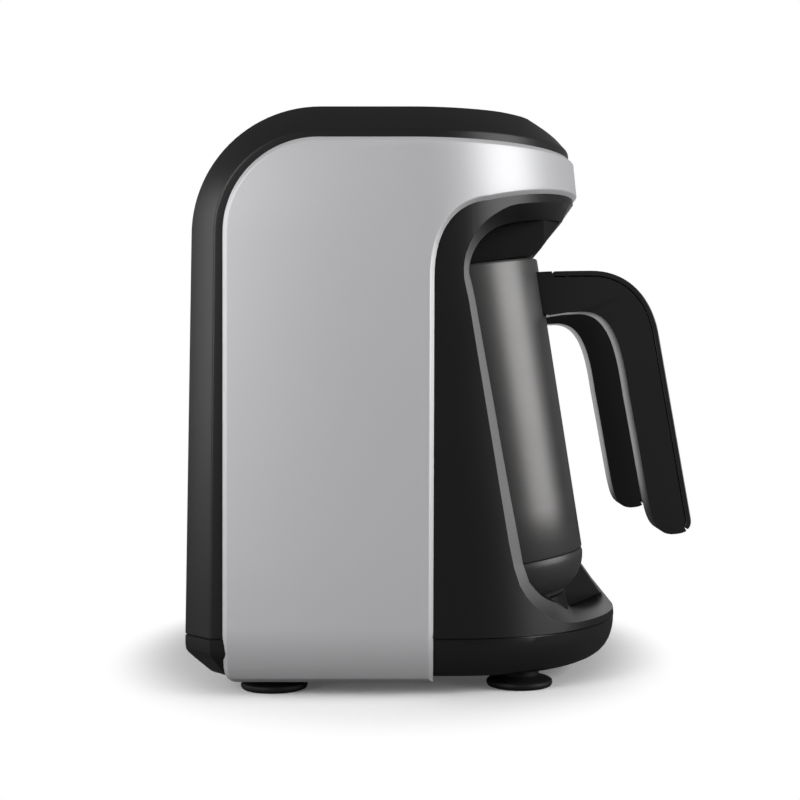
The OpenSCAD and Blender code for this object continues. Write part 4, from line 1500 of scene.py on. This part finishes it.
@dataclass
class Handle:
    """Open handle of a pot: a moulded core with a soft strip along its back."""

    side: Side
    half: float = 12.0
    strip: float = 2.4
    groove: float = 0.4
    rounding: float = 5.5
    pot_radius: float = 37.05
    strip_ends: tuple[int, int] = (1, 35)

    def outer(self) -> list[Point2]:
        """The back of the handle, from its root down to its tip."""
        return ([(43.3, 181.5), (48.5, 181.7), (54.0, 181.85), (60.0, 181.95)]
                + cubic([(65.5, 182.0), (82.5, 182.0), (93.0, 169.5), (95.6, 152.9)], 20)
                + [(99.15, 132.55), (102.7, 112.2), (106.25, 91.85)]
                + cubic([(109.8, 71.5), (110.6, 66.0), (106.5, 64.5), (101.0, 64.4)], 14))

    def inner(self) -> list[Point2]:
        """The front of the handle, from its tip up to its root."""
        return (cubic([(101.0, 64.4), (93.5, 64.6), (92.6, 72.5), (91.1, 78.1)], 12, 1)
                + [(88.1, 94.4), (85.2, 110.7)]
                + cubic([(82.2, 127.0), (79.6, 143.5), (76.5, 163.5), (62.5, 163.6)], 20)
                + [(54.8, 163.3), (46.5, 162.0)])

    def inset(self, line: Sequence[Point2], depth: float) -> list[Point2]:
        """A line that runs at a depth inside the handle's back."""
        result = []
        for i, p in enumerate(line):
            a, b = line[max(i - 1, 0)], line[min(i + 1, len(line) - 1)]
            run = math.dist(a, b)
            result.append((p[0] + depth * (b[1] - a[1]) / run, p[1] - depth * (b[0] - a[0]) / run))
        return result

    def build(self) -> None:
        """Builds the core and the strip on its back."""
        y = POT_Y * self.side.value
        outer, inner = self.outer(), self.inner()
        first, last = self.strip_ends
        back = outer[first:last]
        core = (outer[:first + 1] + self.inset(back, self.strip + self.groove) + outer[last:]
                + inner + [(36.0, 165.0), (36.0, 181.0)])
        work = Work()
        work.prism(core, self.half, y)
        soft = inner[:-2] + outer[last + 3:]
        work.round_edges([e for e in work.bm.edges
                          if abs(e.verts[0].co.y - e.verts[1].co.y) < 0.1
                          and all(min(math.dist((v.co.x, v.co.z), p) for p in soft) < NEAR
                                  for v in e.verts)], self.rounding, 5)
        pot = Work()
        pot.cylinder(self.pot_radius, 120.0, segments=144)
        pot.move(pot_matrix(self.side) @ Matrix.Translation((0, 0, 120)))
        notch = Work()
        notch.prism([(47.3, 182.6), (48.9, 182.6), (48.3, 179.9)], self.half + 1, y)
        looks = {"bevel": 1.0, "bevel_angle": 50, "smooth": 50}
        publish_on_pot(self.side, "handle", "handle_core", Finishes.handle, work, cutters=(
            as_object("handle_cutter", pot), as_object("notch_cutter", notch)), **looks)
        work = Work()
        work.prism(back + self.inset(back, self.strip)[::-1], self.half - 0.4, y)
        publish_on_pot(self.side, "handle_grip", "handle_back", Finishes.grip, work, **looks)


# --- the stage ------------------------------------------------------------------------------


@dataclass
class Studio:
    """Pale floor, white backdrop, soft lamps and the camera."""

    camera: Point3 = (-0.0057, -0.7704, 0.1332)
    lens: float = 69.3
    shift: Point2 = (-0.04, -0.025)
    shadow: Point2 = (0.11, 0.16)
    fade: Point2 = (0.75, 1.6)
    glow: float = 0.06
    albedo: float = 0.95
    world_light: float = 0.2
    wall: Point2 = (0.93, 0.98)

    def build(self) -> None:
        """Sets the stage, the lamps and the camera."""
        self._floor()
        self._world()
        self._lamps()
        data = bpy.data.cameras.new("camera")
        data.sensor_width, data.lens = 36.0, self.lens
        data.shift_x, data.shift_y = self.shift
        data.clip_start = 0.01
        view = bpy.data.objects.new("camera", data)
        view.location, view.rotation_euler = self.camera, (math.pi / 2, 0, 0)
        bpy.context.scene.collection.objects.link(view)
        bpy.context.scene.camera = view
        bpy.context.scene.view_settings.view_transform = "Standard"

    def _floor(self) -> None:
        """A large floor, white to the eye and with a shadow, that throws little light back."""
        work = Work()
        bmesh.ops.create_grid(work.bm, x_segments=8, y_segments=8, size=4000.0)
        floor = as_object("floor", work)
        g = Graph("floor_white")
        x, y = g.axis("X"), g.axis("Y")
        across, back = (x + 0.025) / self.shadow[0], y / self.shadow[1]
        far = (across * across + back * back).band(*self.fade)
        behind = (y - (x * x * 4.0).math("SQRT")).band(0.3, 0.9)
        seen = g.node("ShaderNodeBsdfPrincipled", inputs={
            "Base Color": g.blend((self.albedo,) * 3, (0.0, 0.0, 0.0), far), "Roughness": 0.95,
            "Specular IOR Level": 0.0, "Emission Strength": 1.0,
            "Emission Color": g.blend((self.glow,) * 3, (1.0, 1.0, 1.0), far)})
        soft = g.node("ShaderNodeBsdfPrincipled", inputs={
            "Base Color": (0.15, 0.15, 0.15, 1.0), "Roughness": 0.95, "Specular IOR Level": 0.0})
        mix = g.node("ShaderNodeMixShader", inputs={
            0: g.ray("Camera", "Transmission") + g.ray("Glossy") * behind,
            1: soft.outputs[0], 2: seen.outputs[0]})
        g.feed(g.output.inputs["Surface"], mix.outputs[0])
        floor.data.materials.append(g.owner)

    def _world(self) -> None:
        """White to the eye, a white wall behind in gloss, softer as a light."""
        g = Graph("studio", world=True)
        wall = g.axis("Y", "Generated").band(*self.wall) * g.ray("Glossy")
        shown = g.ray("Camera", "Transmission") + wall
        light = g.node("ShaderNodeBackground", inputs={
            "Color": (1.0, 1.0, 1.0, 1.0),
            "Strength": shown * (1.0 - self.world_light) + self.world_light})
        g.feed(g.output.inputs["Surface"], light.outputs[0])
        bpy.context.scene.world = g.owner

    def _lamps(self) -> None:
        """Large soft lamps: front left, right and left."""
        self._lamp("lamp_front_left", (-1.25, -1.45, 0.7), (0, -0.1, 0.13), (0.7, 1.2), 24.0)
        self._lamp("lamp_right", (1.82, -0.64, 0.62), (0, 0, 0.14), (1.5, 1.3), 40.0)
        self._lamp("lamp_left", (-1.9, -0.15, 0.5), (0, 0, 0.14), (0.8, 1.2), 14.0)

    def _lamp(self, name: str, place: Point3, target: Point3, size: Point2, power: float) -> None:
        """Adds one area lamp.

        Args:
            name: Its name.
            place: Where it hangs, in metres.
            target: What it points at.
            size: Its width and height.
            power: Its power, in watts.
        """
        data = bpy.data.lights.new(name, "AREA")
        data.shape, data.size, data.size_y, data.energy = "RECTANGLE", size[0], size[1], power
        lamp = bpy.data.objects.new(name, data)
        lamp.location = place
        lamp.rotation_euler = (Vector(target) - Vector(place)).to_track_quat("-Z", "Y").to_euler()
        bpy.context.scene.collection.objects.link(lamp)


def dress_carried() -> None:
    """Gives every CAD node that stays its own procedural material."""
    for name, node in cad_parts.items():
        key = next((k for k in sorted(CARRIED, key=len, reverse=True) if name.startswith(k)), None)
        finish = CARRIED[key] if key else Finishes.component
        node.data.materials.clear()
        node.data.materials.append(finish.material())


def main() -> None:
    """Builds the machine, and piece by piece."""
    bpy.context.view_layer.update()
    dress_carried()
    Studio().build()
    builders = [WrapSkin(), UpperShell(), FrontMoulding(), Tub(), ControlFace(), RearInlet()]
    builders += [BayFloor(), Divider()] + [Seat(side) for side in Side]
    builders += [SensorHead(side) for side in Side] + [Pot(side) for side in Side]
    for place, (x, y) in (("front", (32.4, 98.0)), ("rear", (-73.9, 104.0))):
        for side in Side:
            builders.append(Foot(f"foot_{place}_{side.word}", (x, y * side.value)))
    for builder in builders:
        LOG.info("building %s", type(builder).__name__)
        builder.build()


if __name__ == "__main__":
    main()
